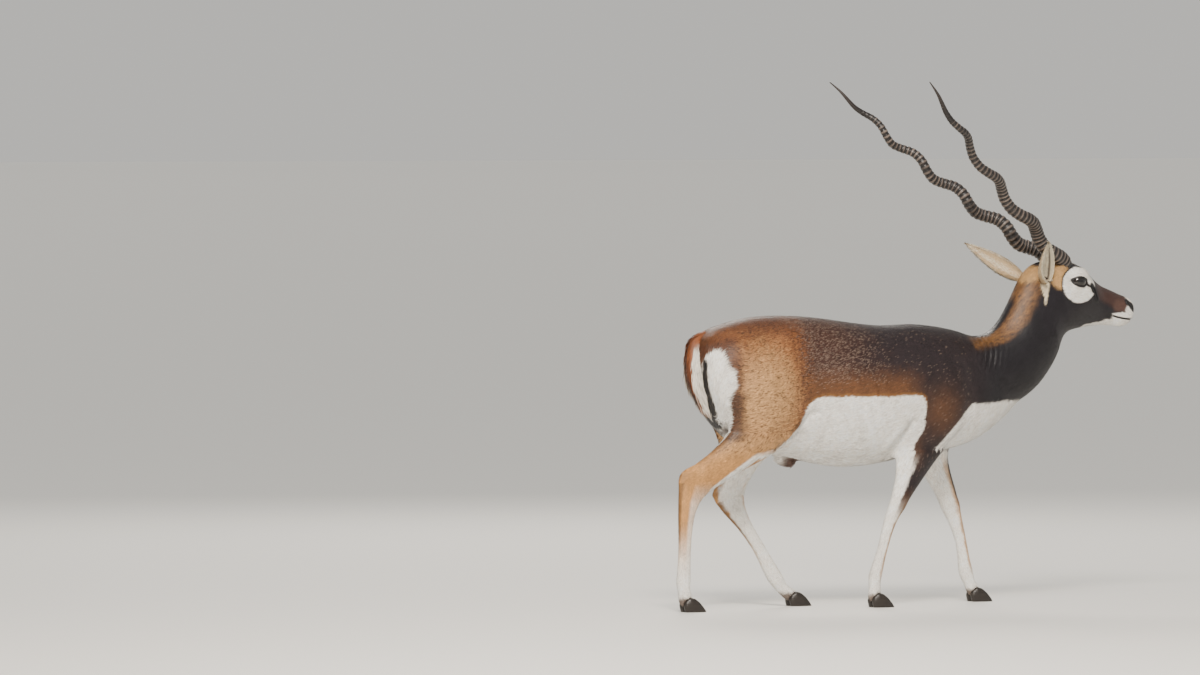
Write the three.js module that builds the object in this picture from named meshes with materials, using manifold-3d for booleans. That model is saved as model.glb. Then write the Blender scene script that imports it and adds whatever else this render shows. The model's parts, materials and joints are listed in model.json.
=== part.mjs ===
// A male blackbuck antelope in mid stride, life size, in millimetres.
// +X is the way it walks, +Y its left side and +Z up. It stands on the soles of eight hoof claws at Z = 0.
import * as THREE from "three";
import { mergeVertices } from "three/addons/utils/BufferGeometryUtils.js";
import Module from "manifold-3d";

const wasm = await Module();
wasm.setup();

const UP = new THREE.Vector3(0, 0, 1);

// Driving sizes
const GAP = 0.3; // between pieces that touch
const WELD = 1e-4;
const BODY_SIDES = 24;
const LEG_SIDES = 12;
const CLAW_SIDES = 10;
const TAIL_SIDES = 10;
const EYE_GRID = [14, 10];

const HEAD_YAW = THREE.MathUtils.degToRad(4.5); // the head looks a little to the animal's left
const HEAD_PIVOT = new THREE.Vector3(492, 0, 820);

const FORE_TRACK = 78; // legs' distance from the middle plane
const HIND_TRACK = 82;
const ELBOW_CUT = 424; // height at which a foreleg leaves the body

const EYE = { x: 607, y: 38, z: 855, radius: 24 };
const EYE_OPENING = { long: 54, high: 31, tilt: -0.15 };
const LID_THICKNESS = 3.5;
const ORBIT = { x: 612, y: 36, z: 861, radii: [35, 25, 36] };
const HORN_PAD = { x: 560, y: 26, z: 897, radii: [26, 25, 24] };
const SCENT_SLIT = { from: new THREE.Vector3(655, 44, 838), to: new THREE.Vector3(668, 43, 806), wide: 4, deep: 9 };
const NOSTRIL = { from: new THREE.Vector3(779, 24, 799), to: new THREE.Vector3(805, 18, 776), wide: 6, deep: 9 };
const MOUTH = { corner: [733, 761], front: [812, 751], gap: 2.4, deep: 5 };

// The two horns of the pair differ a little, as in life, in the turns of their spirals and where these start.
const HORN = {
  base: new THREE.Vector3(568, 31, 906),
  back: 562, // how far the tip lies behind, beside and above the base
  side: 218,
  rise: 482,
  left: { turns: 5.3, start: 178 },
  right: { turns: 4.1, start: 50 },
  wave: 10, // how far the spiral's centre line strays from straight
  bowBack: 13, // the whole horn bows back and a little inward
  bowIn: 4.5,
  rings: 38,
  ringed: 0.88, // share of the length with raised rings
  ringRise: 0.085,
  sunk: -0.012, // the share of the length at which it starts, inside the skull
  sides: 10,
};

const EAR_THICKNESS = 2.6;
const EAR_ROOT = 18; // radius of the fleshy root that closes the cup below
const EAR_STEPS = 11;
const EAR_ARC = 7; // points across the back of an ear
const EARS = {
  right: {
    root: new THREE.Vector3(500, -46, 858),
    tip: new THREE.Vector3(461, -122, 962),
    open: new THREE.Vector3(0.3, -0.95, 0),
  },
  left: {
    root: new THREE.Vector3(484, 44, 864),
    tip: new THREE.Vector3(370, 148, 957),
    open: new THREE.Vector3(0.1, 0.75, -0.6),
  },
};

// Helpers

// The closed solid of a three.js geometry.
function solidOf(geometry) {
  const bare = geometry.clone();
  bare.deleteAttribute("normal");
  bare.deleteAttribute("uv");
  const welded = mergeVertices(bare, WELD);
  return new wasm.Manifold(
    new wasm.Mesh({
      numProp: 3,
      vertProperties: new Float32Array(welded.attributes.position.array),
      triVerts: new Uint32Array(welded.index.array),
    }),
  );
}

const volumeOf = (points, triangles) => {
  let total = 0;
  for (let i = 0; i < triangles.length; i += 3) {
    const [a, b, c] = triangles.slice(i, i + 3).map((k) => points[k]);
    total += a.dot(new THREE.Vector3().crossVectors(b, c));
  }
  return total;
};

// A closed skin over rings of points. A round ring is capped by a fan from its middle, a crescent by a strip.
function skinOver(rings, crescent = false) {
  const points = rings.flat();
  const around = rings[0].length;
  const triangles = [];
  for (let i = 0; i + 1 < rings.length; i++) {
    for (let k = 0; k < around; k++) {
      const a = i * around + k;
      const b = i * around + ((k + 1) % around);
      triangles.push(a, b, b + around, a, b + around, a + around);
    }
  }
  for (const [first, flip] of [
    [0, true],
    [(rings.length - 1) * around, false],
  ]) {
    const face = (a, b, c) => triangles.push(...(flip ? [a, c, b] : [a, b, c]));
    if (crescent) {
      for (let k = 0; k + 1 < around / 2; k++) {
        const [a, b] = [first + k, first + k + 1];
        const [c, d] = [first + around - 2 - k, first + around - 1 - k];
        face(a, b, c);
        face(a, c, d);
      }
    } else {
      const middle = new THREE.Vector3();
      for (let k = 0; k < around; k++) middle.add(points[first + k]);
      points.push(middle.divideScalar(around));
      for (let k = 0; k < around; k++) face(first + k, first + ((k + 1) % around), points.length - 1);
    }
  }
  if (volumeOf(points, triangles) < 0) triangles.reverse();
  const geometry = new THREE.BufferGeometry().setFromPoints(points);
  geometry.setIndex(triangles);
  return solidOf(geometry);
}

// One section of a limb or of the body, seen from the side: a point of its upper (or front) outline,
// a point of its lower (or rear) outline, and its half width, with its middle at the height y.
// egg makes the upper side wider than the lower one, and full below 1 makes the section squarer.
function section(upper, lower, half, { y = 0, egg = 0, full = 1 } = {}) {
  return { upper, lower, half, y, egg, full };
}

// The smooth body over a row of sections, each outline point moved out by grow.
// turn swings it about the head's pivot.
function loft(sections, { sides = BODY_SIDES, steps = 2, grow = 0, turn = 0 } = {}) {
  const smooth = (pick) => new THREE.CatmullRomCurve3(sections.map(pick));
  const upper = smooth((s) => new THREE.Vector3(s.upper[0], s.y, s.upper[1]));
  const lower = smooth((s) => new THREE.Vector3(s.lower[0], s.y, s.lower[1]));
  const shape = smooth((s) => new THREE.Vector3(s.half, s.egg * s.half, s.full * 100));
  const count = (sections.length - 1) * steps;
  const rings = [];
  const middles = [];
  for (let i = 0; i <= count; i++) {
    const top = upper.getPoint(i / count);
    const bottom = lower.getPoint(i / count);
    const size = shape.getPoint(i / count);
    const middle = top.clone().add(bottom).multiplyScalar(0.5);
    middles.push(middle);
    const rise = top.clone().sub(bottom).multiplyScalar(0.5);
    rise.setLength(rise.length() + grow);
    const half = size.x + grow;
    const power = size.z / 100;
    const ring = [];
    for (let k = 0; k < sides; k++) {
      const angle = (2 * Math.PI * (k + 0.5)) / sides;
      const up = Math.sign(Math.sin(angle)) * Math.abs(Math.sin(angle)) ** power;
      const out = Math.sign(Math.cos(angle)) * Math.abs(Math.cos(angle)) ** power;
      const wide = half * out * (1 + (size.y / size.x) * up);
      const point = middle.clone().addScaledVector(rise, up).add(new THREE.Vector3(0, wide, 0));
      ring.push(point.sub(HEAD_PIVOT).applyAxisAngle(UP, turn).add(HEAD_PIVOT));
    }
    rings.push(ring);
  }
  for (const [end, next] of [
    [0, 1],
    [count, count - 1],
  ]) {
    const outward = middles[end].clone().sub(middles[next]).setLength(grow);
    rings[end].forEach((point) => point.add(outward));
  }
  return skinOver(rings);
}

// A large block whose one face is the plane through a point, on the side that the direction points to.
function beyond(point, direction) {
  const size = 4000;
  const block = new THREE.BoxGeometry(size, size, size).translate(0, 0, size / 2);
  block.applyQuaternion(
    new THREE.Quaternion().setFromUnitVectors(new THREE.Vector3(0, 0, 1), direction.clone().normalize()),
  );
  block.translate(point.x, point.y, point.z);
  return solidOf(block);
}

// An egg-shaped bulge.
function bulge(centre, radii, turn = new THREE.Euler(), [round, high] = [12, 8]) {
  const ball = new THREE.SphereGeometry(1, round, high);
  ball.scale(...radii);
  ball.applyQuaternion(new THREE.Quaternion().setFromEuler(turn));
  ball.translate(...centre);
  return solidOf(ball);
}

function largest(solid) {
  return solid.decompose().reduce((best, one) => (one.volume() > best.volume() ? one : best));
}

const finish = (color, roughness) => new THREE.MeshStandardMaterial({ color, roughness, metalness: 0 });
const darkCoat = finish(0x2c2022, 0.85);
const tanCoat = finish(0xb87638, 0.85);
const whiteCoat = finish(0xf1eee6, 0.85);
const creamCoat = finish(0xd9c7a0, 0.85);
const keratin = finish(0x3b3130, 0.55);
const hoofHorn = finish(0x1d191a, 0.5);
const eyeGloss = finish(0x0d0807, 0.1);

const blackbuck = new THREE.Group();
const head = new THREE.Group(); // all that turns with the head, built facing straight ahead
blackbuck.add(head);

function addPiece(parent, name, solid, material) {
  const { numProp, vertProperties, triVerts } = largest(solid).getMesh();
  const position = new Float32Array((vertProperties.length / numProp) * 3);
  for (let i = 0; i * numProp < vertProperties.length; i++) {
    position.set(vertProperties.subarray(i * numProp, i * numProp + 3), i * 3);
  }
  const geometry = new THREE.BufferGeometry();
  geometry.setAttribute("position", new THREE.BufferAttribute(position, 3));
  geometry.setIndex(new THREE.BufferAttribute(triVerts, 1));
  geometry.computeVertexNormals();
  const mesh = new THREE.Mesh(geometry, material);
  mesh.name = name;
  parent.add(mesh);
}

// Trunk: back line over belly line, from the buttocks to the breast
const trunkSections = [
  section([-524, 688], [-509, 610], 46),
  section([-512, 718], [-488, 530], 80, { full: 0.85 }),
  section([-457, 749], [-432, 450], 103, { egg: 0.05, full: 0.93 }),
  section([-357, 773], [-350, 412], 112, { egg: 0.05 }),
  section([-262, 776], [-262, 400], 117),
  section([-166, 770], [-166, 377], 124, { egg: -0.05 }),
  section([-72, 757], [-72, 367], 131, { egg: -0.06 }),
  section([32, 746], [32, 378], 131, { egg: -0.05 }),
  section([118, 750], [118, 396], 120),
  section([205, 741], [222, 408], 104),
  section([275, 725], [310, 432], 88),
  section([330, 700], [385, 482], 68),
  section([385, 662], [440, 534], 44),
  section([430, 625], [459, 578], 16),
];

// Neck and head in one run, so that they flow into each other: nape over throat, brow over jaw
const neckSections = [
  section([225, 722], [395, 505], 74),
  section([318, 714], [478, 558], 74),
  section([366, 732], [516, 592], 68),
  section([407, 786], [553, 642], 62),
  section([438, 846], [572, 682], 58),
  section([462, 886], [584, 708], 56),
];
const headSections = [
  section([490, 908], [598, 720], 56, { egg: -0.04 }),
  section([533, 914], [618, 726], 56, { egg: 0.02 }),
  section([574, 914], [640, 730], 57, { egg: 0.12 }),
  section([614, 905], [662, 733], 54, { egg: 0.2 }),
  section([647, 886], [684, 734], 46, { egg: 0.18 }),
  section([676, 861], [706, 735], 38, { egg: 0.1 }),
  section([708, 841], [730, 735], 31),
  section([741, 827], [754, 731], 28, { egg: -0.05 }),
  section([770, 818], [774, 731], 27, { egg: -0.02 }),
  section([791, 811], [791, 738], 25, { egg: 0.06 }),
  section([804, 801], [802, 751], 19, { egg: 0.08 }),
  section([810, 788], [808, 766], 10),
];
const neckAndHead = [...neckSections, ...headSections];

// Legs, hip or shoulder first: front outline over rear outline
const foreRight = [
  section([250, 640], [120, 660], 20, { y: -82 }),
  section([268, 560], [75, 570], 36, { y: -80 }),
  section([238, 470], [48, 480], 38, { y: -FORE_TRACK }),
  section([178, 410], [36, 416], 32, { y: -FORE_TRACK }),
  section([123, 345], [36, 345], 24, { y: -FORE_TRACK }),
  section([84, 295], [23, 290], 20, { y: -FORE_TRACK }),
  section([62, 262], [9, 252], 18, { y: -FORE_TRACK }),
  section([37, 222], [-2, 218], 15, { y: -FORE_TRACK }),
  section([16, 166], [-16, 163], 12.5, { y: -FORE_TRACK }),
  section([3, 120], [-33, 115], 14, { y: -FORE_TRACK }),
  section([-4, 92], [-44, 84], 16, { y: -FORE_TRACK }),
  section([-10, 62], [-43, 54], 15, { y: -FORE_TRACK }),
  section([-8, 38], [-46, 26], 16, { y: -FORE_TRACK }),
  section([-12, 22], [-40, 16], 12, { y: -FORE_TRACK }),
];
const foreLeft = [
  section([320, 640], [200, 660], 20, { y: 82 }),
  section([338, 560], [160, 560], 36, { y: 80 }),
  section([310, 470], [150, 465], 38, { y: FORE_TRACK }),
  section([275, 405], [165, 400], 32, { y: FORE_TRACK }),
  section([284, 345], [203, 340], 24, { y: FORE_TRACK }),
  section([298, 300], [236, 290], 20, { y: FORE_TRACK }),
  section([311, 252], [258, 245], 18, { y: FORE_TRACK }),
  section([321, 208], [280, 206], 15, { y: FORE_TRACK }),
  section([332, 160], [299, 156], 12.5, { y: FORE_TRACK }),
  section([342, 112], [306, 106], 14, { y: FORE_TRACK }),
  section([349, 86], [309, 76], 16, { y: FORE_TRACK }),
  section([355, 60], [322, 50], 15, { y: FORE_TRACK }),
  section([370, 36], [334, 24], 16, { y: FORE_TRACK }),
  section([368, 20], [342, 14], 12, { y: FORE_TRACK }),
];
const hindRight = [
  section([-350, 730], [-470, 700], 30, { y: -62 }),
  section([-262, 660], [-498, 640], 50, { y: -72 }),
  section([-228, 570], [-490, 560], 56, { y: -76 }),
  section([-245, 480], [-455, 500], 50, { y: -HIND_TRACK }),
  section([-318, 415], [-470, 462], 36, { y: -HIND_TRACK }),
  section([-398, 376], [-516, 420], 25, { y: -HIND_TRACK }),
  section([-478, 334], [-562, 390], 19, { y: -HIND_TRACK }),
  section([-534, 298], [-602, 368], 17, { y: -HIND_TRACK }),
  section([-556, 262], [-607, 318], 17, { y: -HIND_TRACK }),
  section([-566, 220], [-609, 240], 14, { y: -HIND_TRACK }),
  section([-571, 165], [-608, 170], 12.5, { y: -HIND_TRACK }),
  section([-572, 112], [-611, 108], 14, { y: -HIND_TRACK }),
  section([-572, 84], [-614, 78], 16, { y: -HIND_TRACK }),
  section([-574, 60], [-609, 52], 15, { y: -HIND_TRACK }),
  section([-566, 38], [-606, 26], 16, { y: -HIND_TRACK }),
  section([-570, 22], [-600, 16], 12, { y: -HIND_TRACK }),
];
const hindLeft = [
  section([-350, 730], [-470, 700], 30, { y: 62 }),
  section([-255, 660], [-498, 640], 50, { y: 72 }),
  section([-205, 570], [-480, 560], 56, { y: 76 }),
  section([-195, 490], [-430, 480], 50, { y: HIND_TRACK }),
  section([-235, 425], [-402, 415], 36, { y: HIND_TRACK }),
  section([-285, 375], [-400, 368], 25, { y: HIND_TRACK }),
  section([-318, 330], [-412, 328], 19, { y: HIND_TRACK }),
  section([-332, 290], [-428, 300], 17, { y: HIND_TRACK }),
  section([-324, 252], [-396, 252], 17, { y: HIND_TRACK }),
  section([-304, 212], [-352, 208], 14, { y: HIND_TRACK }),
  section([-270, 160], [-308, 152], 12.5, { y: HIND_TRACK }),
  section([-237, 110], [-279, 98], 14, { y: HIND_TRACK }),
  section([-218, 82], [-262, 68], 16, { y: HIND_TRACK }),
  section([-206, 58], [-240, 44], 15, { y: HIND_TRACK }),
  section([-172, 36], [-216, 22], 16, { y: HIND_TRACK }),
  section([-176, 22], [-206, 14], 12, { y: HIND_TRACK }),
];

// Where a hind leg leaves the body: a slant from the flank fold up to the buttock
const HIND_CUT = { point: new THREE.Vector3(-340, 0, 500), normal: new THREE.Vector3(-0.28, 0, -1) };
const FORE_CUT = { point: new THREE.Vector3(150, 0, ELBOW_CUT), normal: new THREE.Vector3(0, 0, -1) };

// The neck begins at a plane from the front of the withers to the breast.
const NECK_CUT = { point: new THREE.Vector3(345, 0, 722), normal: new THREE.Vector3(0.79, 0, 0.61) };

const legs = {
  foreleg_right: { sections: foreRight, parting: FORE_CUT, side: -1, claws: "hoof_fore_right", track: FORE_TRACK },
  foreleg_left: { sections: foreLeft, parting: FORE_CUT, side: 1, claws: "hoof_fore_left", track: FORE_TRACK },
  hindleg_right: { sections: hindRight, parting: HIND_CUT, side: -1, claws: "hoof_hind_right", track: HIND_TRACK },
  hindleg_left: { sections: hindLeft, parting: HIND_CUT, side: 1, claws: "hoof_hind_left", track: HIND_TRACK },
};

const moved = ({ point, normal }, distance) =>
  beyond(point.clone().addScaledVector(normal.clone().normalize(), distance), normal);

// One claw of a cloven hoof on its flat sole, its toe forward.
const CLAW = { long: 64, high: 40, half: 11.5, apart: 12.5 };
function claw(toeX, y, grow = 0) {
  const heel = toeX - CLAW.long;
  const at = (share, top, half) =>
    section([heel + share * CLAW.long - 6, top], [heel + share * CLAW.long + 2, -10], half, { y, full: 0.75 });
  const whole = loft(
    [
      at(0.02, 20, 5),
      at(0.1, 30, 9),
      at(0.3, CLAW.high, CLAW.half),
      at(0.55, CLAW.high - 4, CLAW.half),
      at(0.75, 26, 9.5),
      at(0.92, 14, 6),
      at(1.03, 5, 2.5),
    ],
    { sides: CLAW_SIDES, steps: 1, grow },
  );
  return whole.intersect(beyond(new THREE.Vector3(), new THREE.Vector3(0, 0, 1)));
}

// Torso: the trunk with the shoulders, haunches and sheath
const trunk = loft(trunkSections);
const trunkGrown = loft(trunkSections, { grow: GAP });
let bodyGrown = loft(trunkSections, { grow: 2 * GAP }); // with all four legs, to clear the tail from them
const sheath = bulge([-250, 0, 388], [34, 13, 14], new THREE.Euler(0, 0.25, 0));
const neckAndHeadSolid = loft(neckAndHead);
const front = trunk.add(neckAndHeadSolid);
let torso = front.subtract(moved(NECK_CUT, 0)).add(sheath);
for (const leg of Object.values(legs)) {
  leg.whole = loft(leg.sections, { sides: LEG_SIDES });
  torso = torso.add(leg.whole.subtract(moved(leg.parting, 0)));
  bodyGrown = bodyGrown.add(loft(leg.sections, { sides: LEG_SIDES, grow: 2 * GAP }));
}
addPiece(blackbuck, "torso", torso, tanCoat);

for (const [name, leg] of Object.entries(legs)) {
  const foot = leg.sections.at(-2);
  const toe = foot.upper[0] + 36;
  const y = foot.y;
  let shank = leg.whole.intersect(moved(leg.parting, GAP)).subtract(trunkGrown).subtract(sheath);
  for (const [where, offset] of [
    ["inner", -leg.side * CLAW.apart],
    ["outer", leg.side * CLAW.apart],
  ]) {
    const fetlock = leg.sections.at(-4);
    shank = shank.add(
      bulge([fetlock.lower[0] - 2, y + offset, fetlock.lower[1] - 8], [6, 7, 12], new THREE.Euler(0, 0.3, 0), [8, 6]),
    );
    shank = shank.subtract(claw(toe, y + offset, GAP));
    addPiece(blackbuck, `${leg.claws}_${where}`, claw(toe, y + offset), hoofHorn);
  }
  shank = shank.intersect(beyond(new THREE.Vector3(0, 0, 14), new THREE.Vector3(0, 0, 1)));
  addPiece(blackbuck, name, shank, whiteCoat);
}

// Neck: cut off where the head begins
const headPlane = { point: HEAD_PIVOT, normal: new THREE.Vector3(1, 0, 0.52) };
const headPlaneTurned = { point: HEAD_PIVOT, normal: headPlane.normal.clone().applyAxisAngle(UP, -HEAD_YAW) };
const neckSolid = front.intersect(moved(NECK_CUT, GAP)).subtract(moved(headPlane, 0));
addPiece(blackbuck, "neck", neckSolid, darkCoat);

// Head
const mirrored = (values, side) => [values[0], values[1] * side, values[2]];
const eyeSpot = (side) => mirrored([EYE.x, EYE.y, EYE.z], side);

function eyeOpening(side) {
  const { long, high, tilt } = EYE_OPENING;
  const almond = new THREE.Shape();
  almond.moveTo(-long / 2, 0);
  almond.quadraticCurveTo(0, high, long / 2, 0);
  almond.quadraticCurveTo(0, -high, -long / 2, 0);
  const prism = new THREE.ExtrudeGeometry(almond, { depth: 60, bevelEnabled: false, curveSegments: 8 });
  prism.rotateX(Math.PI / 2);
  if (side > 0) prism.translate(0, 60, 0);
  prism.rotateY(-tilt);
  prism.translate(EYE.x, side * EYE.y, EYE.z);
  return solidOf(prism);
}

const headSide = moved(headPlaneTurned, GAP);

// A slot along the skin, such as a nostril: an oval pit from one spot to another.
function slot({ from, to, wide, deep }, side) {
  const [a, b] = [from, to].map((spot) => new THREE.Vector3(...mirrored(spot.toArray(), side)));
  const pit = new THREE.SphereGeometry(1, 8, 6);
  pit.scale(wide, deep, a.distanceTo(b) / 2);
  pit.applyQuaternion(new THREE.Quaternion().setFromUnitVectors(UP, b.clone().sub(a).normalize()));
  const middle = a.add(b).multiplyScalar(0.5);
  pit.translate(middle.x, middle.y, middle.z);
  return solidOf(pit);
}

// The line of the mouth, cut all round the muzzle, leaving the inside whole.
function mouthLine() {
  const [x0, z0] = MOUTH.corner;
  const [x1, z1] = MOUTH.front;
  const line = new THREE.Shape();
  line.moveTo(x0, z0);
  line.quadraticCurveTo((x0 + x1) / 2, (z0 + z1) / 2 - 4, x1, z1);
  line.lineTo(x1, z1 + MOUTH.gap);
  line.quadraticCurveTo((x0 + x1) / 2, (z0 + z1) / 2 - 4 + MOUTH.gap, x0, z0);
  const wide = 80;
  const plate = new THREE.ExtrudeGeometry(line, { depth: wide, bevelEnabled: false, curveSegments: 3 });
  plate.translate(0, 0, -wide / 2).rotateX(Math.PI / 2);
  return solidOf(plate).subtract(loft(headSections, { grow: -MOUTH.deep }));
}

const hornPad = (side, grow) =>
  bulge(mirrored([HORN_PAD.x, HORN_PAD.y, HORN_PAD.z], side), HORN_PAD.radii.map((r) => r + grow));

let headSolid = neckAndHeadSolid.intersect(headSide).subtract(mouthLine());
for (const side of [-1, 1]) {
  const eyeball = (grow) => bulge(eyeSpot(side), Array(3).fill(EYE.radius + grow), new THREE.Euler(), EYE_GRID);
  const ball = eyeball(0);
  const orbit = bulge(mirrored([ORBIT.x, ORBIT.y, ORBIT.z], side), ORBIT.radii, new THREE.Euler(), [14, 10]);
  headSolid = headSolid.add(orbit).add(hornPad(side, 0)).add(eyeball(LID_THICKNESS));
  headSolid = headSolid.subtract(eyeball(GAP)).subtract(eyeOpening(side));
  headSolid = headSolid.subtract(slot(SCENT_SLIT, side)).subtract(slot(NOSTRIL, side));
  addPiece(head, side < 0 ? "eye_right" : "eye_left", ball, eyeGloss);
}
const headGrown = loft(neckAndHead, { grow: GAP }).add(hornPad(-1, GAP)).add(hornPad(1, GAP));
const neckTurned = loft(neckAndHead, { grow: GAP, turn: -HEAD_YAW });

// Horns
const spread = (values) => {
  const curve = new THREE.CatmullRomCurve3(values.map((v, i) => new THREE.Vector3(i, v, 0)));
  return (share) => curve.getPoint(share).y;
};
const hornRadius = spread([20, 17.8, 16.2, 14.6, 12.8, 11, 9.2, 6.6, 1.4]);

function horn(side) {
  const base = HORN.base.clone().multiply(new THREE.Vector3(1, side, 1));
  const reach = new THREE.Vector3(-HORN.back, side * HORN.side, HORN.rise);
  const along = reach.clone().normalize();
  const across = new THREE.Vector3(0, side, 0).projectOnPlane(along).normalize();
  const over = new THREE.Vector3().crossVectors(along, across);
  const { turns, start } = side > 0 ? HORN.left : HORN.right;
  const first = THREE.MathUtils.degToRad(start);
  const bow = new THREE.Vector3(-HORN.bowBack, -side * HORN.bowIn, -HORN.bowBack);
  const centre = (share) => {
    const angle = first + side * 2 * Math.PI * turns * share;
    const fade = Math.min(1, Math.max(0, (1 - share) / 0.3));
    const stray = HORN.wave * Math.min(1, share * 8 + 0.15) * fade;
    return base
      .clone()
      .addScaledVector(reach, share)
      .addScaledVector(bow, Math.sin(Math.PI * Math.min(1, Math.max(0, share))))
      .addScaledVector(across, stray * Math.cos(angle))
      .addScaledVector(over, stray * Math.sin(angle));
  };
  const rings = [];
  const ring = (share, swell) => {
    const tangent = centre(share + 1e-3).sub(centre(share - 1e-3)).normalize();
    const flat = across.clone().projectOnPlane(tangent).normalize();
    const steep = new THREE.Vector3().crossVectors(tangent, flat);
    const radius = hornRadius(Math.min(1, Math.max(0, share))) * swell;
    const points = [];
    for (let k = 0; k < HORN.sides; k++) {
      const angle = (2 * Math.PI * k) / HORN.sides;
      points.push(
        centre(share)
          .addScaledVector(flat, radius * Math.cos(angle))
          .addScaledVector(steep, radius * Math.sin(angle)),
      );
    }
    rings.push(points);
  };
  ring(HORN.sunk, 1);
  for (let i = 0; i < HORN.rings; i++) {
    ring((HORN.ringed * i) / HORN.rings, 1 - HORN.ringRise);
    ring((HORN.ringed * (i + 0.5)) / HORN.rings, 1 + HORN.ringRise);
  }
  const smoothSteps = 5;
  for (let i = 0; i <= smoothSteps; i++) {
    ring(HORN.ringed + ((1 - HORN.ringed) * i) / smoothSteps, 1 - HORN.ringRise);
  }
  return skinOver(rings);
}

const horns = {};
for (const side of [-1, 1]) {
  horns[side] = horn(side);
  addPiece(head, side < 0 ? "horn_right" : "horn_left", horns[side].subtract(headGrown), keratin);
}

// Ears: a leaf-shaped cup, its rim curled in near the root
const earHalf = spread([14, 24, 29, 28, 22, 13, 1.5]);
const earDepth = spread([13, 17, 17, 15, 12, 7, 1.5]);
const earCurl = spread([150, 125, 108, 98, 92, 88, 80]);

function ear({ root, tip, open }) {
  const along = tip.clone().sub(root).normalize();
  const mouth = open.clone().projectOnPlane(along).normalize();
  const across = new THREE.Vector3().crossVectors(along, mouth);
  const length = tip.distanceTo(root);
  const rings = [];
  for (let i = 0; i <= EAR_STEPS; i++) {
    const share = i / EAR_STEPS;
    const curl = THREE.MathUtils.degToRad(earCurl(share));
    const middle = root.clone().addScaledVector(along, length * share);
    const arc = (thinner) => {
      const points = [];
      for (let k = 0; k < EAR_ARC; k++) {
        const angle = -curl + (2 * curl * k) / (EAR_ARC - 1);
        const half = Math.max(0.5, earHalf(share) - thinner);
        const depth = Math.max(0.5, earDepth(share) - thinner);
        points.push(
          middle
            .clone()
            .addScaledVector(across, half * Math.sin(angle))
            .addScaledVector(mouth, -depth * Math.cos(angle)),
        );
      }
      return points;
    };
    rings.push([...arc(0), ...arc(Math.min(EAR_THICKNESS, earHalf(share) * 0.5)).reverse()]);
  }
  const cup = skinOver(rings, true);
  const fleshy = bulge(root.clone().addScaledVector(along, EAR_ROOT / 3).toArray(), Array(3).fill(EAR_ROOT));
  return cup.add(fleshy).subtract(headGrown).subtract(neckTurned);
}

for (const [where, placed] of Object.entries(EARS)) {
  const side = where === "left" ? 1 : -1;
  addPiece(head, `ear_${where}`, ear(placed).subtract(horns[side]), creamCoat);
}
addPiece(head, "head", headSolid, darkCoat);

// Tail, lying along the rump, fringed with tapered locks of hair
const tailSections = [
  section([-494, 738], [-480, 700], 18),
  section([-526, 714], [-500, 690], 27),
  section([-539, 680], [-508, 668], 31),
  section([-542, 645], [-508, 638], 29),
  section([-535, 604], [-503, 600], 23),
  section([-519, 566], [-488, 564], 14),
  section([-504, 548], [-486, 548], 6),
];
const LOCK = { half: 8, thick: 3.5, sides: 5 };
const lockTaper = [0.9, 1, 0.7, 0.12];

// A flat lock of hair from root to tip, which sags by bend at its middle.
function lock(root, tip, broad, bend) {
  const along = tip.clone().sub(root);
  const wide = broad.clone().projectOnPlane(along).normalize();
  const flat = new THREE.Vector3().crossVectors(along, wide).normalize();
  const rings = lockTaper.map((taper, i) => {
    const share = i / (lockTaper.length - 1);
    const middle = root.clone().addScaledVector(along, share).addScaledVector(bend, Math.sin(Math.PI * share));
    const ring = [];
    for (let k = 0; k < LOCK.sides; k++) {
      const angle = (2 * Math.PI * k) / LOCK.sides;
      ring.push(
        middle
          .clone()
          .addScaledVector(wide, LOCK.half * taper * Math.cos(angle))
          .addScaledVector(flat, LOCK.thick * taper * Math.sin(angle)),
      );
    }
    return ring;
  });
  return skinOver(rings);
}

let tail = loft(tailSections, { sides: TAIL_SIDES });
const fringe = [
  { height: 655, x: -523 },
  { height: 628, x: -523 },
  { height: 602, x: -519 },
  { height: 578, x: -509 },
];
for (const side of [-1, 1]) {
  fringe.forEach(({ height, x }, i) => {
    const root = new THREE.Vector3(x, side * (26 - 5 * i), height);
    const tip = new THREE.Vector3(x + 12, side * (34 - 8 * i), height - 58);
    tail = tail.add(lock(root, tip, new THREE.Vector3(0.5, side, 0), new THREE.Vector3(-6, side * 3, 0)));
  });
}
const tipLocks = 5;
for (let i = 0; i < tipLocks; i++) {
  const aside = i - (tipLocks - 1) / 2;
  const root = new THREE.Vector3(-503, aside * 4, 572);
  const tip = new THREE.Vector3(-476 - 3 * Math.abs(aside), aside * 5, 486 + 8 * Math.abs(aside));
  tail = tail.add(lock(root, tip, new THREE.Vector3(0, 1, 0), new THREE.Vector3(-5, 0, 0)));
}
addPiece(blackbuck, "tail", tail.subtract(bodyGrown), tanCoat);

// The head group turns about the top of the neck, and the whole stands over the origin.
head.position.copy(HEAD_PIVOT).sub(HEAD_PIVOT.clone().applyAxisAngle(UP, HEAD_YAW));
head.rotation.z = HEAD_YAW;
const middle = new THREE.Box3().setFromObject(blackbuck, true).getCenter(new THREE.Vector3());
blackbuck.position.set(-middle.x, -middle.y, 0);

export default blackbuck;
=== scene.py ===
# %% [markdown]
# # A blackbuck in a museum hall
# This lesson dresses a plain modelled blackbuck, a male Indian antelope, as a mounted museum figure.
# The plain model gives the true size and stance. Over it come a skin with muscles and folds,
# the short coat in its markings, the eyes, the ringed horns, the ears, the hooves and the tail.

import json
import math

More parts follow.
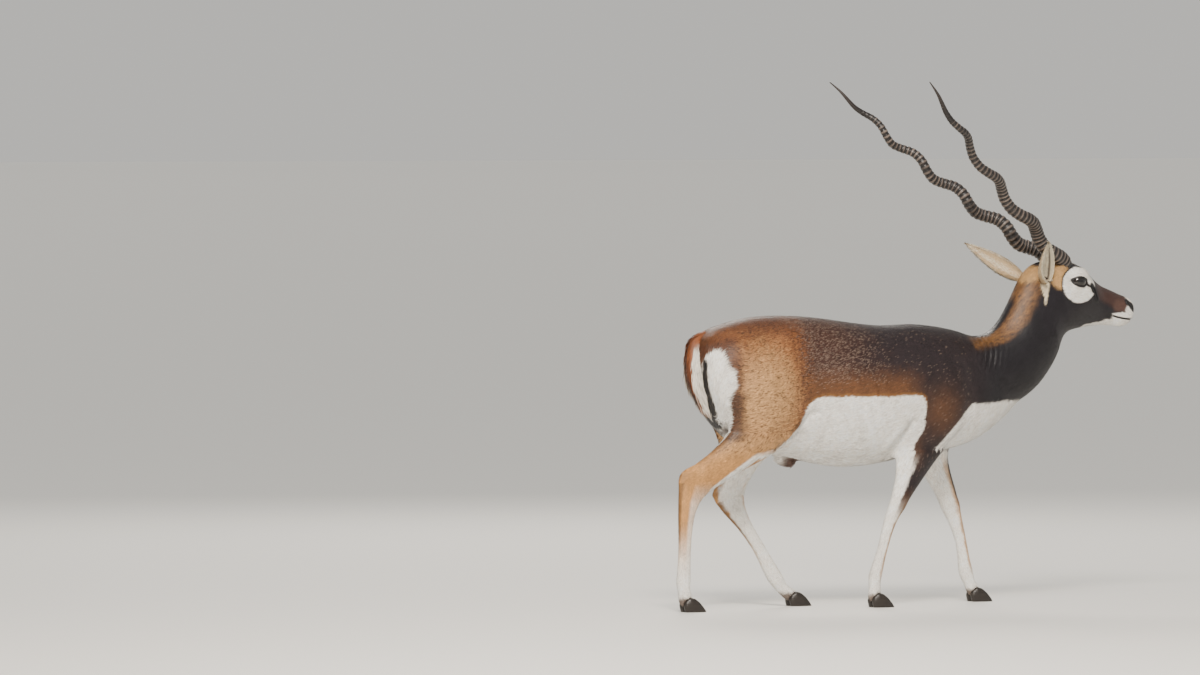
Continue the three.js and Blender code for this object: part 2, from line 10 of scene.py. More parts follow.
import bmesh
import bpy
import numpy as np
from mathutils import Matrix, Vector

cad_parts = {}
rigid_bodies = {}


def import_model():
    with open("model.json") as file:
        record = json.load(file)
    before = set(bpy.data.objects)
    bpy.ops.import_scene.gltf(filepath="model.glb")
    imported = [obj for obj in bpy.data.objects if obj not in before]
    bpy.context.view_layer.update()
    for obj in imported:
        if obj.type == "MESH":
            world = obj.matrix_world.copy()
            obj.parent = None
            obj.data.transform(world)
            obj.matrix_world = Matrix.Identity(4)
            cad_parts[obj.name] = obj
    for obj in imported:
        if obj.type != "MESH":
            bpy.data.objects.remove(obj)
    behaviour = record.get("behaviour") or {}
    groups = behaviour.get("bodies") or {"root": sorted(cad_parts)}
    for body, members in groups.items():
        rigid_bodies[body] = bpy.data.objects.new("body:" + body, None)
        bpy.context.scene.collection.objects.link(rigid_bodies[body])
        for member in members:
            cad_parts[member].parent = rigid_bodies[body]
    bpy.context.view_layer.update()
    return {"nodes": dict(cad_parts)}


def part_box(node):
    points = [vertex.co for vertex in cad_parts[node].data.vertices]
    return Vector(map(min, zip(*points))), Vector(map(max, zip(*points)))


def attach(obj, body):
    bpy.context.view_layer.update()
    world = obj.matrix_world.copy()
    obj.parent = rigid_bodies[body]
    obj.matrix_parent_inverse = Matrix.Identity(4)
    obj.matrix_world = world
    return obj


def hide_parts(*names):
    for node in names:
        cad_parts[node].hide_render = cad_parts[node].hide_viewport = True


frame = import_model()
nodes = frame["nodes"]
MM = 0.001

# %% [markdown]
# The model was drawn in millimetres about a point under the middle of the trunk, and then centred.
# Markings and muscles are easiest to place in that first drawing, so the shift between the two is measured
# once: the trunk is symmetric about the drawing's middle plane, and its rump lies at a known place.
# The head looks a few degrees to the left, so its features are drawn facing straight ahead and then turned.

# %%
# Drawing coordinates
RUMP_X = -523.94
HEAD_YAW = math.radians(4.5)
HEAD_PIVOT = np.array([492.0, 0.0, 820.0])
WAVES = 14  # waves that add up to one field of soft patches
WAVE_GAIN = 2.4  # brings their mean to between about -1 and 1

trunk_low, trunk_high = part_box("torso")
SHIFT = np.array([trunk_low[0] - RUMP_X * MM, (trunk_low[1] + trunk_high[1]) / 2, 0.0])


def turned(points, angle):
    """Points of the drawing turned about the head's pivot."""
    c, s = math.cos(angle), math.sin(angle)
    turn = np.array([[c, s, 0], [-s, c, 0], [0, 0, 1]])
    return (np.asarray(points, float) - HEAD_PIVOT) @ turn + HEAD_PIVOT


def placed(points):
    """Drawing millimetres to metres in the hall."""
    return np.asarray(points, float) * MM + SHIFT


def head_placed(points):
    """The same for features of the head, drawn facing straight ahead."""
    return placed(turned(points, HEAD_YAW))


def drawn(points):
    """Metres in the hall back to drawing millimetres."""
    return (points - SHIFT) / MM


def ease(low, high, value):
    """A soft step from 0 at low to 1 at high."""
    share = np.clip((value - low) / (high - low), 0, 1)
    return share * share * (3 - 2 * share)


def mottle(points, size, seed):
    """Soft random patches about size millimetres across, from about -1 to 1."""
    draw = np.random.default_rng(seed)
    waves = draw.normal(size=(WAVES, 3)) * 2 / size
    phases = draw.uniform(0, 2 * math.pi, WAVES)
    return np.sin(points @ waves.T + phases).mean(1) * WAVE_GAIN


print("shift of the drawing in metres:", SHIFT.round(4))

# %% [markdown]
# ## Camera, floor and light
# The picture was taken with a long lens from some 26 metres off, a little behind the animal's right side,
# at about the height of its head. A far camera with a long lens keeps the near and far legs the same size,
# as in the picture. The hall has a wide pale floor and large soft lamps.

# %%
# Set up the view
VIEW_TURN = math.radians(-26)
DISTANCE = 26.5
LENS = 300
SENSOR = 36
PICTURE_WIDTH = 1200
METRES_PER_PIXEL = DISTANCE * SENSOR / LENS / PICTURE_WIDTH
ANIMAL_ORIGIN_PIXEL = (870, 606)
PICTURE_MIDDLE = (600, 337.5)
CAMERA_HEIGHT = 1.37

to_right = np.array([math.cos(VIEW_TURN), math.sin(VIEW_TURN), 0])
target = SHIFT + to_right * (PICTURE_MIDDLE[0] - ANIMAL_ORIGIN_PIXEL[0]) * METRES_PER_PIXEL
target[2] = (ANIMAL_ORIGIN_PIXEL[1] - PICTURE_MIDDLE[1]) * METRES_PER_PIXEL
dip = math.atan2(CAMERA_HEIGHT - target[2], DISTANCE)
look = np.array([-math.sin(VIEW_TURN) * math.cos(dip), math.cos(VIEW_TURN) * math.cos(dip), -math.sin(dip)])

lens = bpy.data.cameras.new("long_lens")
lens.lens = LENS
lens.sensor_width = SENSOR
lens.clip_end = 2000
camera = bpy.data.objects.new("camera", lens)
camera.location = target - look * DISTANCE
camera.rotation_euler = Vector(look).to_track_quat("-Z", "Y").to_euler()
bpy.context.scene.collection.objects.link(camera)
bpy.context.scene.camera = camera
print("camera at", camera.location[:], "dip in degrees", round(math.degrees(dip), 2))


# %%
# Hang the lamps
MIDDLE = (0.0, 0.0, 0.65)


def linear(hex_colour):
    """An sRGB hex colour as linear light."""
    values = np.array([int(hex_colour[i : i + 2], 16) for i in (1, 3, 5)]) / 255
    return np.where(values <= 0.04045, values / 12.92, ((values + 0.055) / 1.055) ** 2.4)


def rgba(hex_colour):
    """The same with full opacity, as a socket wants it."""
    return (*linear(hex_colour), 1.0)


def soft_lamp(name, place, size, power, colour):
    """A round lamp, size in metres and power in watts, that shines at the animal's middle."""
    lamp = bpy.data.lights.new(name, "AREA")
    lamp.shape = "DISK"
    lamp.size = size
    lamp.energy = power
    lamp.color = linear(colour)
    holder = bpy.data.objects.new(name, lamp)
    holder.location = place
    holder.rotation_euler = (Vector(MIDDLE) - Vector(place)).to_track_quat("-Z", "Y").to_euler()
    holder.visible_camera = False
    bpy.context.scene.collection.objects.link(holder)


soft_lamp("key_lamp", (-2.6, -4.6, 4.6), 1.8, 470, "#fff4e6")
soft_lamp("far_lamp", (1.5, 5.0, 3.8), 2.4, 170, "#fff8ee")
daylight = bpy.data.lights.new("daylight", "SUN")
daylight.energy = 0.9
daylight.angle = math.radians(25)
sky_lamp = bpy.data.objects.new("daylight", daylight)
sky_lamp.rotation_euler = (math.radians(38), 0, math.radians(-28))
bpy.context.scene.collection.objects.link(sky_lamp)

world = bpy.data.worlds.new("hall")
world.use_nodes = True
world.node_tree.nodes["Background"].inputs["Color"].default_value = rgba("#e9e7e2")
world.node_tree.nodes["Background"].inputs["Strength"].default_value = 0.75
bpy.context.scene.world = world
print("lights:", [lamp.name for lamp in bpy.data.lights])

# %% [markdown]
# ## Helpers for finishes and meshes
# Every finish is a small network, so one function adds a node with its values and links, and three more
# add what several finishes share: a blend of two colours, a lighter or darker tone, and a shallow relief.
# Large meshes are written straight into the mesh's own arrays, which takes a fraction of a second.


# %%
# Helpers for finishes
def new_finish(name):
    """A new finish, its tree of nodes and its shader."""
    finish = bpy.data.materials.new(name)
    finish.use_nodes = True
    return finish, finish.node_tree, finish.node_tree.nodes["Principled BSDF"]


def add_node(tree, kind, values=None, links=None):
    """Adds a node: values are its settings or sockets, links are outputs that feed its sockets."""
    node = tree.nodes.new(kind)
    for name, value in (values or {}).items():
        if isinstance(name, str) and hasattr(node, name):
            setattr(node, name, value)
        else:
            node.inputs[name].default_value = value
    for name, source in (links or {}).items():
        tree.links.new(source, node.inputs[name])
    return node


def add_blend(tree, first, second, share):
    """The blend of two hex colours, the second as far as the share says."""
    colours = {"data_type": "RGBA", 6: rgba(first), 7: rgba(second)}
    return add_node(tree, "ShaderNodeMix", colours, {0: share}).outputs[2]


def add_tone(tree, colour, factor):
    """A colour times a factor."""
    settings = {"data_type": "RGBA", "blend_type": "MULTIPLY", 0: 1.0}
    return add_node(tree, "ShaderNodeMix", settings, {6: colour, 7: factor}).outputs[2]


def add_relief(tree, shader, height, strength, depth):
    """A relief in the shader's surface, depth in metres."""
    relief = add_node(tree, "ShaderNodeBump", {"Strength": strength, "Distance": depth}, {"Height": height})
    tree.links.new(relief.outputs[0], shader.inputs["Normal"])


# %%
# Helpers for meshes
def build_mesh(name, points, triangles, smooth=True):
    """An object from an array of points in metres and an array of triangles."""
    mesh = bpy.data.meshes.new(name)
    mesh.vertices.add(len(points))
    mesh.vertices.foreach_set("co", np.asarray(points, np.float32).ravel())
    mesh.loops.add(triangles.size)
    mesh.loops.foreach_set("vertex_index", triangles.astype(np.int32).ravel())
    mesh.polygons.add(len(triangles))
    mesh.polygons.foreach_set("loop_start", np.arange(0, triangles.size, 3, dtype=np.int32))
    mesh.update(calc_edges=True)
    mesh.polygons.foreach_set("use_smooth", np.full(len(triangles), smooth))
    piece = bpy.data.objects.new(name, mesh)
    bpy.context.scene.collection.objects.link(piece)
    return piece


def tube(rings, closed_ends=True):
    """Points and triangles of a skin over rings of points, shape (rings, around, 3)."""
    count, around = rings.shape[:2]
    points = rings.reshape(-1, 3)
    i, k = np.meshgrid(np.arange(count - 1), np.arange(around), indexing="ij")
    a = i * around + k
    b = i * around + (k + 1) % around
    sides = np.concatenate([np.stack([a, b, b + around], -1), np.stack([a, b + around, a + around], -1)])
    triangles = sides.reshape(-1, 3)
    if closed_ends:
        ends = np.stack([rings[0].mean(0), rings[-1].mean(0)])
        points = np.concatenate([points, ends])
        around_once = np.arange(around)
        after = (around_once + 1) % around
        last = (count - 1) * around
        first_cap = np.stack([after, around_once, np.full(around, count * around)], -1)
        last_cap = np.stack([last + around_once, last + after, np.full(around, count * around + 1)], -1)
        triangles = np.concatenate([triangles, first_cap, last_cap])
    return points, triangles


def set_colours(mesh, name, colours):
    """Stores one linear colour for each point of a mesh."""
    layer = mesh.color_attributes.new(name, "FLOAT_COLOR", "POINT")
    layer.data.foreach_set("color", np.c_[colours, np.ones(len(colours))].astype(np.float32).ravel())


def set_map(mesh, places):
    """Gives each corner of a mesh its place on the flat sheet that colours can be baked on."""
    layer = mesh.uv_layers.new(name="OFBake")
    layer.data.foreach_set("uv", places.astype(np.float32).ravel())


def points_of(mesh):
    """The mesh's points in metres."""
    values = np.zeros(len(mesh.vertices) * 3, np.float32)
    mesh.vertices.foreach_get("co", values)
    return values.reshape(-1, 3).astype(float)


def normals_of(mesh):
    """The outward direction at each point."""
    values = np.zeros(len(mesh.vertices) * 3, np.float32)
    mesh.vertex_normals.foreach_get("vector", values)
    return values.reshape(-1, 3).astype(float)


def move_points(mesh, points):
    """Puts the mesh's points at new places."""
    mesh.vertices.foreach_set("co", np.asarray(points, np.float32).ravel())
    mesh.update()


# %%
# Lay the floor
floor_finish, tree, shader = new_finish("pale_floor")
grain = add_node(tree, "ShaderNodeTexNoise", {"Scale": 3.0, "Detail": 4.0})
tint = add_blend(tree, "#dfddd8", "#e6e4df", grain.outputs["Fac"])
tree.links.new(tint, shader.inputs["Base Color"])
shader.inputs["Roughness"].default_value = 0.7
FLOOR_REACH = 150.0
corners = np.array([[-1, -1, 0], [1, -1, 0], [1, 1, 0], [-1, 1, 0]], float) * FLOOR_REACH
floor = build_mesh("hall_floor", corners, np.array([[0, 1, 2], [0, 2, 3]]), smooth=False)
floor.data.materials.append(floor_finish)
print("floor is", 2 * FLOOR_REACH, "m wide")

# %% [markdown]
# ## The lines of the body
# A bent line runs from the rump through the trunk, neck and head to the nose, and one runs down each leg.
# They give the way the hair lies, backward along the body and down the legs, and they unroll the skin:
# the distance along a line and the angle round it are the two directions of the unwrapped hide.

# %%
# Draw the body's lines
SPINE = [(-515, 0, 650), (-430, 0, 605), (-300, 0, 590), (-70, 0, 562), (120, 0, 572), (270, 0, 592)]
SPINE += [(350, 0, 632), (440, 0, 700), (505, 0, 775)]
SKULL = [(550, 0, 822), (620, 0, 822), (700, 0, 795), (790, 0, 774)]
FORE_RIGHT = [(150, -80, 560), (107, -78, 413), (54, -78, 292), (17, -78, 220), (0, -78, 165)]
FORE_RIGHT += [(-15, -78, 118), (-24, -78, 88), (-27, -78, 32)]
FORE_LEFT = [(250, 80, 560), (220, 78, 403), (267, 78, 295), (300, 78, 207), (315, 78, 158)]
FORE_LEFT += [(324, 78, 109), (329, 78, 81), (352, 78, 30)]
HIND_RIGHT = [(-359, -76, 565), (-350, -82, 490), (-394, -82, 438), (-457, -82, 398), (-520, -82, 362)]
HIND_RIGHT += [(-568, -82, 333), (-582, -82, 290), (-588, -82, 230), (-590, -82, 167), (-592, -82, 110)]
HIND_RIGHT += [(-593, -82, 81), (-586, -82, 32)]
HIND_LEFT = [(-342, 76, 565), (-312, 82, 485), (-318, 82, 420), (-342, 82, 371), (-365, 82, 329)]
HIND_LEFT += [(-380, 82, 295), (-360, 82, 252), (-328, 82, 210), (-289, 82, 156), (-258, 82, 104)]
HIND_LEFT += [(-240, 82, 75), (-194, 82, 29)]

LINES = [np.concatenate([np.array(SPINE, float), turned(SKULL, HEAD_YAW)])]
LINES += [np.array(line, float) for line in (FORE_RIGHT, FORE_LEFT, HIND_RIGHT, HIND_LEFT)]
FORELEGS, HINDLEGS = (1, 2), (3, 4)
LINE_SIDE = (0, -1, 1, -1, 1)  # 0 in the middle, -1 right, 1 left
LEG_TOP = {1: 420, 2: 420, 3: 470, 4: 450}
LEG_REACH = {1: 46, 2: 46, 3: 66, 4: 66}  # widest distance of a leg's skin from its line
LEG_INSIDE = 36  # the skin nearer to the middle plane than this belongs to the trunk
THIGH_GAIN = 30  # more reach above the knee
SHANK_TOP, SHANK_REACH, SHANK_INSIDE = 345, 90, 30
KNEE_HEIGHT = 300


def follow(points, line):
    """For each point: distance along the line, distance from it, its direction, and the offset from it."""
    best = np.full(len(points), np.inf)
    arc = np.zeros(len(points))
    offset = np.zeros((len(points), 3))
    direction = np.zeros((len(points), 3))
    start = 0.0
    last = len(line) - 2
    for i, (a, b) in enumerate(zip(line, line[1:])):
        step = b - a
        length = np.linalg.norm(step)
        share = ((points - a) @ step) / length**2
        share = np.clip(share, -1 if i == 0 else 0, 2 if i == last else 1)
        away = points - (a + share[:, None] * step)
        far = np.linalg.norm(away, axis=1)
        closer = far < best
        best[closer] = far[closer]
        arc[closer] = start + share[closer] * length
        offset[closer] = away[closer]
        direction[closer] = step / length
        start += length
    return arc, best, direction, offset


def angle_round(direction, offset, side):
    """The angle round a line: 0 on the back, or on the outer side of a leg."""
    across = np.array([0.0, 1.0, 0.0])
    rise = np.cross(direction, across)
    if side == 0:
        return np.arctan2(offset @ across, -(rise * offset).sum(1))
    return np.arctan2((rise * offset).sum(1), side * (offset @ across))


def line_of(points):
    """The number of the line that each point of the skin belongs to: 0 is the spine, 1 to 4 are the legs."""
    owner = np.zeros(len(points), int)
    z = points[:, 2]
    for number in FORELEGS + HINDLEGS:
        outward = points[:, 1] * LINE_SIDE[number]
        far = follow(points, LINES[number])[1]
        reach = LEG_REACH[number] + (z > KNEE_HEIGHT) * THIGH_GAIN
        near = (z < LEG_TOP[number]) & (outward > LEG_INSIDE) & (far < reach)
        low = (z < SHANK_TOP) & (outward > SHANK_INSIDE) & (far < SHANK_REACH)
        owner[near | low] = number
    return owner


line_lengths = [round(float(np.linalg.norm(np.diff(line, axis=0), axis=1).sum())) for line in LINES]
print("lines drawn:", len(LINES), "lengths in mm:", line_lengths)

# %% [markdown]
# ## The skin
# The plain pieces of flesh are joined and turned into one closed surface of small even squares, so that
# no joint between them shows. Facets of the plain model are ironed out, more on the wide trunk than on
# the thin legs. The head, and most of all the eyes and the muzzle, get smaller squares for their detail.
# A skin could be sculpted anew, but one that grows from the plain flesh keeps close to its outline.

# %%
# Join the flesh into one skin
SQUARE = 3.4 * MM
FLESH = ["torso", "neck", "head", "foreleg_left", "foreleg_right", "hindleg_left", "hindleg_right"]
EYE = np.array([607.0, 38.0, 855.0])
EYE_RADIUS = 24.0
EYE_PLUG_INSET = 1
SIDES = (("right", -1), ("left", 1))


def both(point, side):
    """A point of the right half of the drawing on the wanted side, with +1 for the left."""
    return np.array([point[0], abs(point[1]) * side, point[2]], float)


block = bmesh.new()
for name in FLESH:
    block.from_mesh(nodes[name].data)
for _, side in SIDES:  # a ball closes each eye's opening, so that lids can be drawn onto it
    plug = bmesh.ops.create_icosphere(block, subdivisions=4, radius=(EYE_RADIUS - EYE_PLUG_INSET) * MM)
    bmesh.ops.translate(block, verts=plug["verts"], vec=Vector(head_placed(both(EYE, side))))
bmesh.ops.remove_doubles(block, verts=block.verts, dist=1e-5)
flesh = bpy.data.meshes.new("flesh")
block.to_mesh(flesh)
block.free()
skin = bpy.data.objects.new("skin", flesh)
bpy.context.scene.collection.objects.link(skin)
remesh = skin.modifiers.new("squares", "REMESH")
remesh.mode = "VOXEL"
remesh.voxel_size = SQUARE
shaped = skin.evaluated_get(bpy.context.evaluated_depsgraph_get())
skin_mesh = bpy.data.meshes.new_from_object(shaped)
skin.modifiers.clear()
skin.data = skin_mesh


def edges_of(mesh):
    """The numbers of the two points of each edge."""
    ends = np.zeros(len(mesh.edges) * 2, np.int32)
    mesh.edges.foreach_get("vertices", ends)
    return ends.reshape(-1, 2)


def ironed(points, edges, strength, rounds):
    """Points moved towards the mean of their neighbours, by a strength from 0 to 1, again and again."""
    ends = np.concatenate([edges[:, 0], edges[:, 1]])
    others = np.concatenate([edges[:, 1], edges[:, 0]])
    count = np.bincount(ends, minlength=len(points))
    for _ in range(rounds):
        sums = [np.bincount(ends, points[others, k], len(points)) for k in range(3)]
        mean = np.stack(sums, 1) / count[:, None]
        points = points + strength[:, None] * (mean - points)
    return points


def largest_part(mesh):
    """Drops loose scraps inside the skin, keeping the largest connected surface."""
    edges = edges_of(mesh)
    label = np.arange(len(mesh.vertices))
    while True:
        low = np.minimum(label[edges[:, 0]], label[edges[:, 1]])
        before = label.copy()
        np.minimum.at(label, edges[:, 0], low)
        np.minimum.at(label, edges[:, 1], low)
        label = label[label]
        if (label == before).all():
            break
    keep = label == np.bincount(label).argmax()
    if not keep.all():
        work = bmesh.new()
        work.from_mesh(mesh)
        work.verts.ensure_lookup_table()
        bmesh.ops.delete(work, geom=[v for v, k in zip(work.verts, keep) if not k], context="VERTS")
        work.to_mesh(mesh)
        work.free()


# %%
# Iron out the facets
TRUNK_IRON, NECK_IRON, HEAD_IRON, THIGH_IRON, LEG_IRON, SHEATH_IRON = 1.0, 0.6, 0.14, 0.4, 0.06, 0.1
IRON_ROUNDS = 70
SHEATH_PLACE = np.array([-262, 0, 385])
SHEATH_REACH = 45
SEAM_ROUNDS, SEAM_BLEND = 6, 0.8  # blend the strengths, so that no step shows between them

largest_part(skin_mesh)
spots = drawn(points_of(skin_mesh))
owner = line_of(spots)
upper_leg = ease(300, 420, spots[:, 2])
strength = np.where(owner > 0, LEG_IRON + (THIGH_IRON - LEG_IRON) * upper_leg, TRUNK_IRON)
to_neck = ease(300, 400, spots[:, 0]) * (owner == 0)
strength = strength * (1 - to_neck) + NECK_IRON * to_neck
to_head = ease(470, 560, spots[:, 0]) * ease(690, 730, spots[:, 2])
strength = strength * (1 - to_head) + HEAD_IRON * to_head
strength[np.linalg.norm(spots - SHEATH_PLACE, axis=1) < SHEATH_REACH] = SHEATH_IRON
blend = np.full(len(spots), SEAM_BLEND)
strength = ironed(np.repeat(strength[:, None], 3, 1), edges_of(skin_mesh), blend, SEAM_ROUNDS)[:, 0]
move_points(skin_mesh, ironed(points_of(skin_mesh), edges_of(skin_mesh), strength, IRON_ROUNDS))
print("skin squares:", len(skin_mesh.polygons))


# %%
# Make the head's squares smaller
HEAD_FROM_X, HEAD_FROM_Z = 500, 715
MUZZLE_FROM_X = 712
EYE_REACH = 46
SOFTEN, SOFTEN_ROUNDS = 0.5, 6


def finer(mesh, wanted):
    """Divides each square whose points are all wanted into four."""
    work = bmesh.new()
    work.from_mesh(mesh)
    work.verts.ensure_lookup_table()
    chosen = [e for e in work.edges if wanted[e.verts[0].index] and wanted[e.verts[1].index]]
    bmesh.ops.subdivide_edges(work, edges=chosen, cuts=1, use_grid_fill=True, smooth=0.0)
    bmesh.ops.triangulate(work, faces=[f for f in work.faces if len(f.verts) > 4])
    work.to_mesh(mesh)
    work.free()


spots = drawn(points_of(skin_mesh))
finer(skin_mesh, (spots[:, 0] > HEAD_FROM_X) & (spots[:, 2] > HEAD_FROM_Z))
spots = turned(drawn(points_of(skin_mesh)), -HEAD_YAW)
near_eye = [np.linalg.norm(spots - both(EYE, side), axis=1) < EYE_REACH for _, side in SIDES]
finer(skin_mesh, near_eye[0] | near_eye[1] | (spots[:, 0] > MUZZLE_FROM_X))
spots = drawn(points_of(skin_mesh))
soft = SOFTEN * (spots[:, 0] > 490) * (spots[:, 2] > 700)
move_points(skin_mesh, ironed(points_of(skin_mesh), edges_of(skin_mesh), soft, SOFTEN_ROUNDS))
print("skin faces with a finer head:", len(skin_mesh.polygons))

# %% [markdown]
# ## Muscles, bones and folds
# Under a short coat the body shows its build: shoulder blade, elbow, hip, stifle, the hollow of the flank,
# ribs, knees and hocks, and on the head the cheek, the bridge of the nose and the lips. Each is a soft push
# in or out along the skin, because a painted relief wouldn't show in the outline and the shadows.
# All start from a skin that lies a coat's depth inside the plain model.

# %%
# Shape the body
BODY_FORMS = [  # place x, y, z, reach and rise in mm, on both sides
    (195, 100, 640, 55, 4.0),  # shoulder blade
    (285, 82, 555, 38, 4.0),  # point of the shoulder
    (75, 125, 610, 48, -4.5),  # hollow behind the shoulder
    (62, 100, 470, 26, 4.0),  # elbow
    (-205, 120, 655, 55, -7.0),  # hollow of the flank
    (-262, 88, 742, 26, 6.0),  # point of the hip
    (-335, 122, 600, 75, 3.5),  # thigh
    (-430, 105, 610, 34, -4.0),  # groove behind the thigh
    (-492, 42, 700, 24, 4.0),  # pin bone
    (-262, 108, 490, 36, 4.0),  # stifle
    (420, 52, 745, 34, -2.5),  # hollow under the crest of the neck
]
LEG_FORMS = [  # the knees, fetlocks and hocks of the four legs, at their own places
    (52, -78, 268, 17, 2.5),  # right knee
    (300, 78, 262, 17, 2.5),  # left knee
    (-22, -78, 92, 14, 1.2),  # right fetlock
    (330, 78, 84, 14, 1.2),  # left fetlock
    (-585, -82, 345, 16, 2.5),  # point of the right hock
    (-400, 82, 312, 16, 2.5),  # point of the left hock
    (-548, -96, 378, 16, -2.5),  # hollow before the right hock's tendon
    (-372, 96, 352, 16, -2.5),  # hollow before the left hock's tendon
]
HEAD_FORMS = [
    (590, 52, 775, 34, 2.5),  # cheek
    (655, 50, 815, 16, 1.6),  # cheekbone before the eye
    (700, 30, 812, 24, -2.5),  # hollow beside the bridge
    (735, 6, 832, 30, 1.4),  # bridge of the nose
    (778, 24, 788, 14, 1.8),  # side of the nostril
    (756, 26, 768, 14, 1.6),  # upper lip
    (762, 20, 744, 13, 1.6),  # lower lip
    (690, 28, 752, 26, -1.6),  # bars of the jaw
]
SKIN_FOLDS = [  # path in x and z, reach and rise in mm, on the right side
    ([(28, 415), (48, 450), (74, 492)], 8, -5.5),
    ([(8, 418), (28, 456), (52, 500)], 10, 2.5),
    ([(-205, 520), (-232, 512), (-262, 474), (-320, 428)], 9, -5.0),
    ([(-222, 548), (-262, 505), (-300, 462)], 10, 3.0),
]
COAT_INSET = 1.6


def path_distance(a, b, path):
    """Distance from a path of straight pieces in a plane."""
    best = np.full(len(a), np.inf)
    points = np.stack([a, b], 1)
    for start, end in zip(path, path[1:]):
        start, end = np.array(start, float), np.array(end, float)
        share = np.clip(((points - start) @ (end - start)) / ((end - start) @ (end - start)), 0, 1)
        away = points - (start + share[:, None] * (end - start))
        best = np.minimum(best, np.linalg.norm(away, axis=1))
    return best


def swell(far, reach):
    """A soft swelling: 1 at no distance, fading within its reach."""
    return np.exp(-((far / reach) ** 2))


place = points_of(skin_mesh)
normal = normals_of(skin_mesh)
spots = drawn(place)
head_spots = turned(spots, -HEAD_YAW)
owner = line_of(spots)
push = -COAT_INSET * np.where(owner > 0, 0.3, 1.0)
on_head = ease(500, 560, spots[:, 0]) * ease(700, 730, spots[:, 2])
push = push * (1 - 0.75 * on_head)
for x, y, z, reach, rise in BODY_FORMS:
    for _, side in SIDES:
        far = np.linalg.norm(spots - both((x, y, z), side), axis=1)
        push += rise * swell(far, reach) * (owner == 0)
for x, y, z, reach, rise in LEG_FORMS:
    push += rise * swell(np.linalg.norm(spots - np.array([x, y, z]), axis=1), reach)
for x, y, z, reach, rise in HEAD_FORMS:
    for _, side in SIDES:
        far = np.linalg.norm(head_spots - both((x, y, z), side), axis=1)
        push += rise * swell(far, reach)
print("forms shaped:", len(BODY_FORMS), len(LEG_FORMS), len(HEAD_FORMS))

# %%
# Add ribs, folds and tendons
RIB_RISE, RIB_WAVE = 0.45, 6.2
FOLD_RISE, FOLD_WAVE = 1.6, 2.4
FLANK_FROM_Y = 50  # folds lie outside this half width
TENDON_DEPTH, TENDON_ANGLE, TENDON_WIDTH = 1.6, 0.25, 0.22

x, y, z = spots.T
ribbed = ease(-215, -150, x) * (1 - ease(20, 90, x)) * ease(430, 500, z)
ribbed *= (1 - ease(640, 700, z)) * (owner == 0)
ribbed *= 0.5 + 0.5 * mottle(spots, 60, 61)
push += RIB_RISE * ribbed * np.sin((x + 0.35 * z) / RIB_WAVE)
for path, reach, rise in SKIN_FOLDS:
    push += rise * swell(path_distance(x, z, path), reach) * (y < -FLANK_FROM_Y)
neck_foot = np.exp(-(((x - 335) / 34) ** 2) - ((z - 668) / 40) ** 2) * (np.abs(y) > 20)
push += FOLD_RISE * neck_foot * np.sin((x - 0.25 * z) / FOLD_WAVE)
along_shank = np.sin(np.clip((z - 120) / 140, 0, 1) * math.pi)
for number in FORELEGS + HINDLEGS:
    _, far, _, offset = follow(spots, LINES[number])
    behind = -offset[:, 0] / np.maximum(far, 1)
    groove = swell(behind - TENDON_ANGLE, TENDON_WIDTH) * (owner == number)
    push -= TENDON_DEPTH * groove * along_shank
place = place + normal * push[:, None] * MM
move_points(skin_mesh, place)
print("pushed from", push.min().round(1), "to", push.max().round(1), "mm")

# %% [markdown]
# ## Eyelids, nostrils, mouth and scent glands
# An antelope's eye is a large dark ball deep in the orbit, between two black-edged lids that follow it.
# The skin round each eye is drawn onto a slightly larger ball, with an almond opening whose front corner
# runs down into the tear duct. The nostril is a comma-shaped slot, the lips meet in a fine line, and before
# each eye lies the slit of the scent gland. Cutting holes would leave raw edges, so the skin is only pushed.

# %%
# Open the eyes, nostrils and mouth
LID_LONG, LID_HIGH = 25.0, 11.5  # half length and half height of the opening
LID_TILT = math.radians(-8)
LID_RISE = 2.4  # lids over the eyeball
LID_SPREAD = 17.0  # width of the skin that is drawn onto the ball
EYE_SUNK = 3.0  # skin behind the eyeball's face
SLIT_FROM, SLIT_TO = np.array([654.0, 48.0, 836.0]), np.array([666.0, 46.0, 808.0])
NOSTRIL_FROM, NOSTRIL_TO = np.array([779.0, 24.0, 798.0]), np.array([804.0, 18.0, 776.0])
NOSTRIL_PATH = [(NOSTRIL_FROM[0], NOSTRIL_FROM[2]), (NOSTRIL_TO[0], NOSTRIL_TO[2])]
MOUTH_CORNER, MOUTH_FRONT = (722.0, 764.0), (806.0, 752.0)
MOUTH_SAG = 3.5
LID_INSIDE, LID_REACH = 20, 48  # lids lie outside this half width and within this distance of the eye
LID_FOLDS = [  # place in half lengths of the opening, width, rise, and 1 above the eye or -1 below it
    (1.28, 2.2, -1.5, 1),
    (1.45, 2.6, -0.9, -1),
    (1.1, 2.6, 1.3, 1),
]
SLOTS = [  # from, to, half width and depth of each groove and of the low rim round it
    (SLIT_FROM, SLIT_TO, 3.2, 5.0),
    (SLIT_FROM, SLIT_TO, 7.5, -1.8),
    (NOSTRIL_FROM, NOSTRIL_TO, 3.6, 9.0),
    (NOSTRIL_FROM, NOSTRIL_TO, 6.5, -2.0),
]


def lid_place(points):
    """How far along and up a point lies from the eye's centre, in the tilted frame of its lids."""
    along = points[:, 0] - EYE[0]
    up = points[:, 2] - EYE[2]
    return (
        along * math.cos(LID_TILT) + up * math.sin(LID_TILT),
        up * math.cos(LID_TILT) - along * math.sin(LID_TILT),
    )


def lid_height(along):
    """Half height of the almond between the lids."""
    share = np.clip(np.abs(along) / LID_LONG, 0, 1)
    return LID_HIGH * (1 - share**2.2) ** 0.9


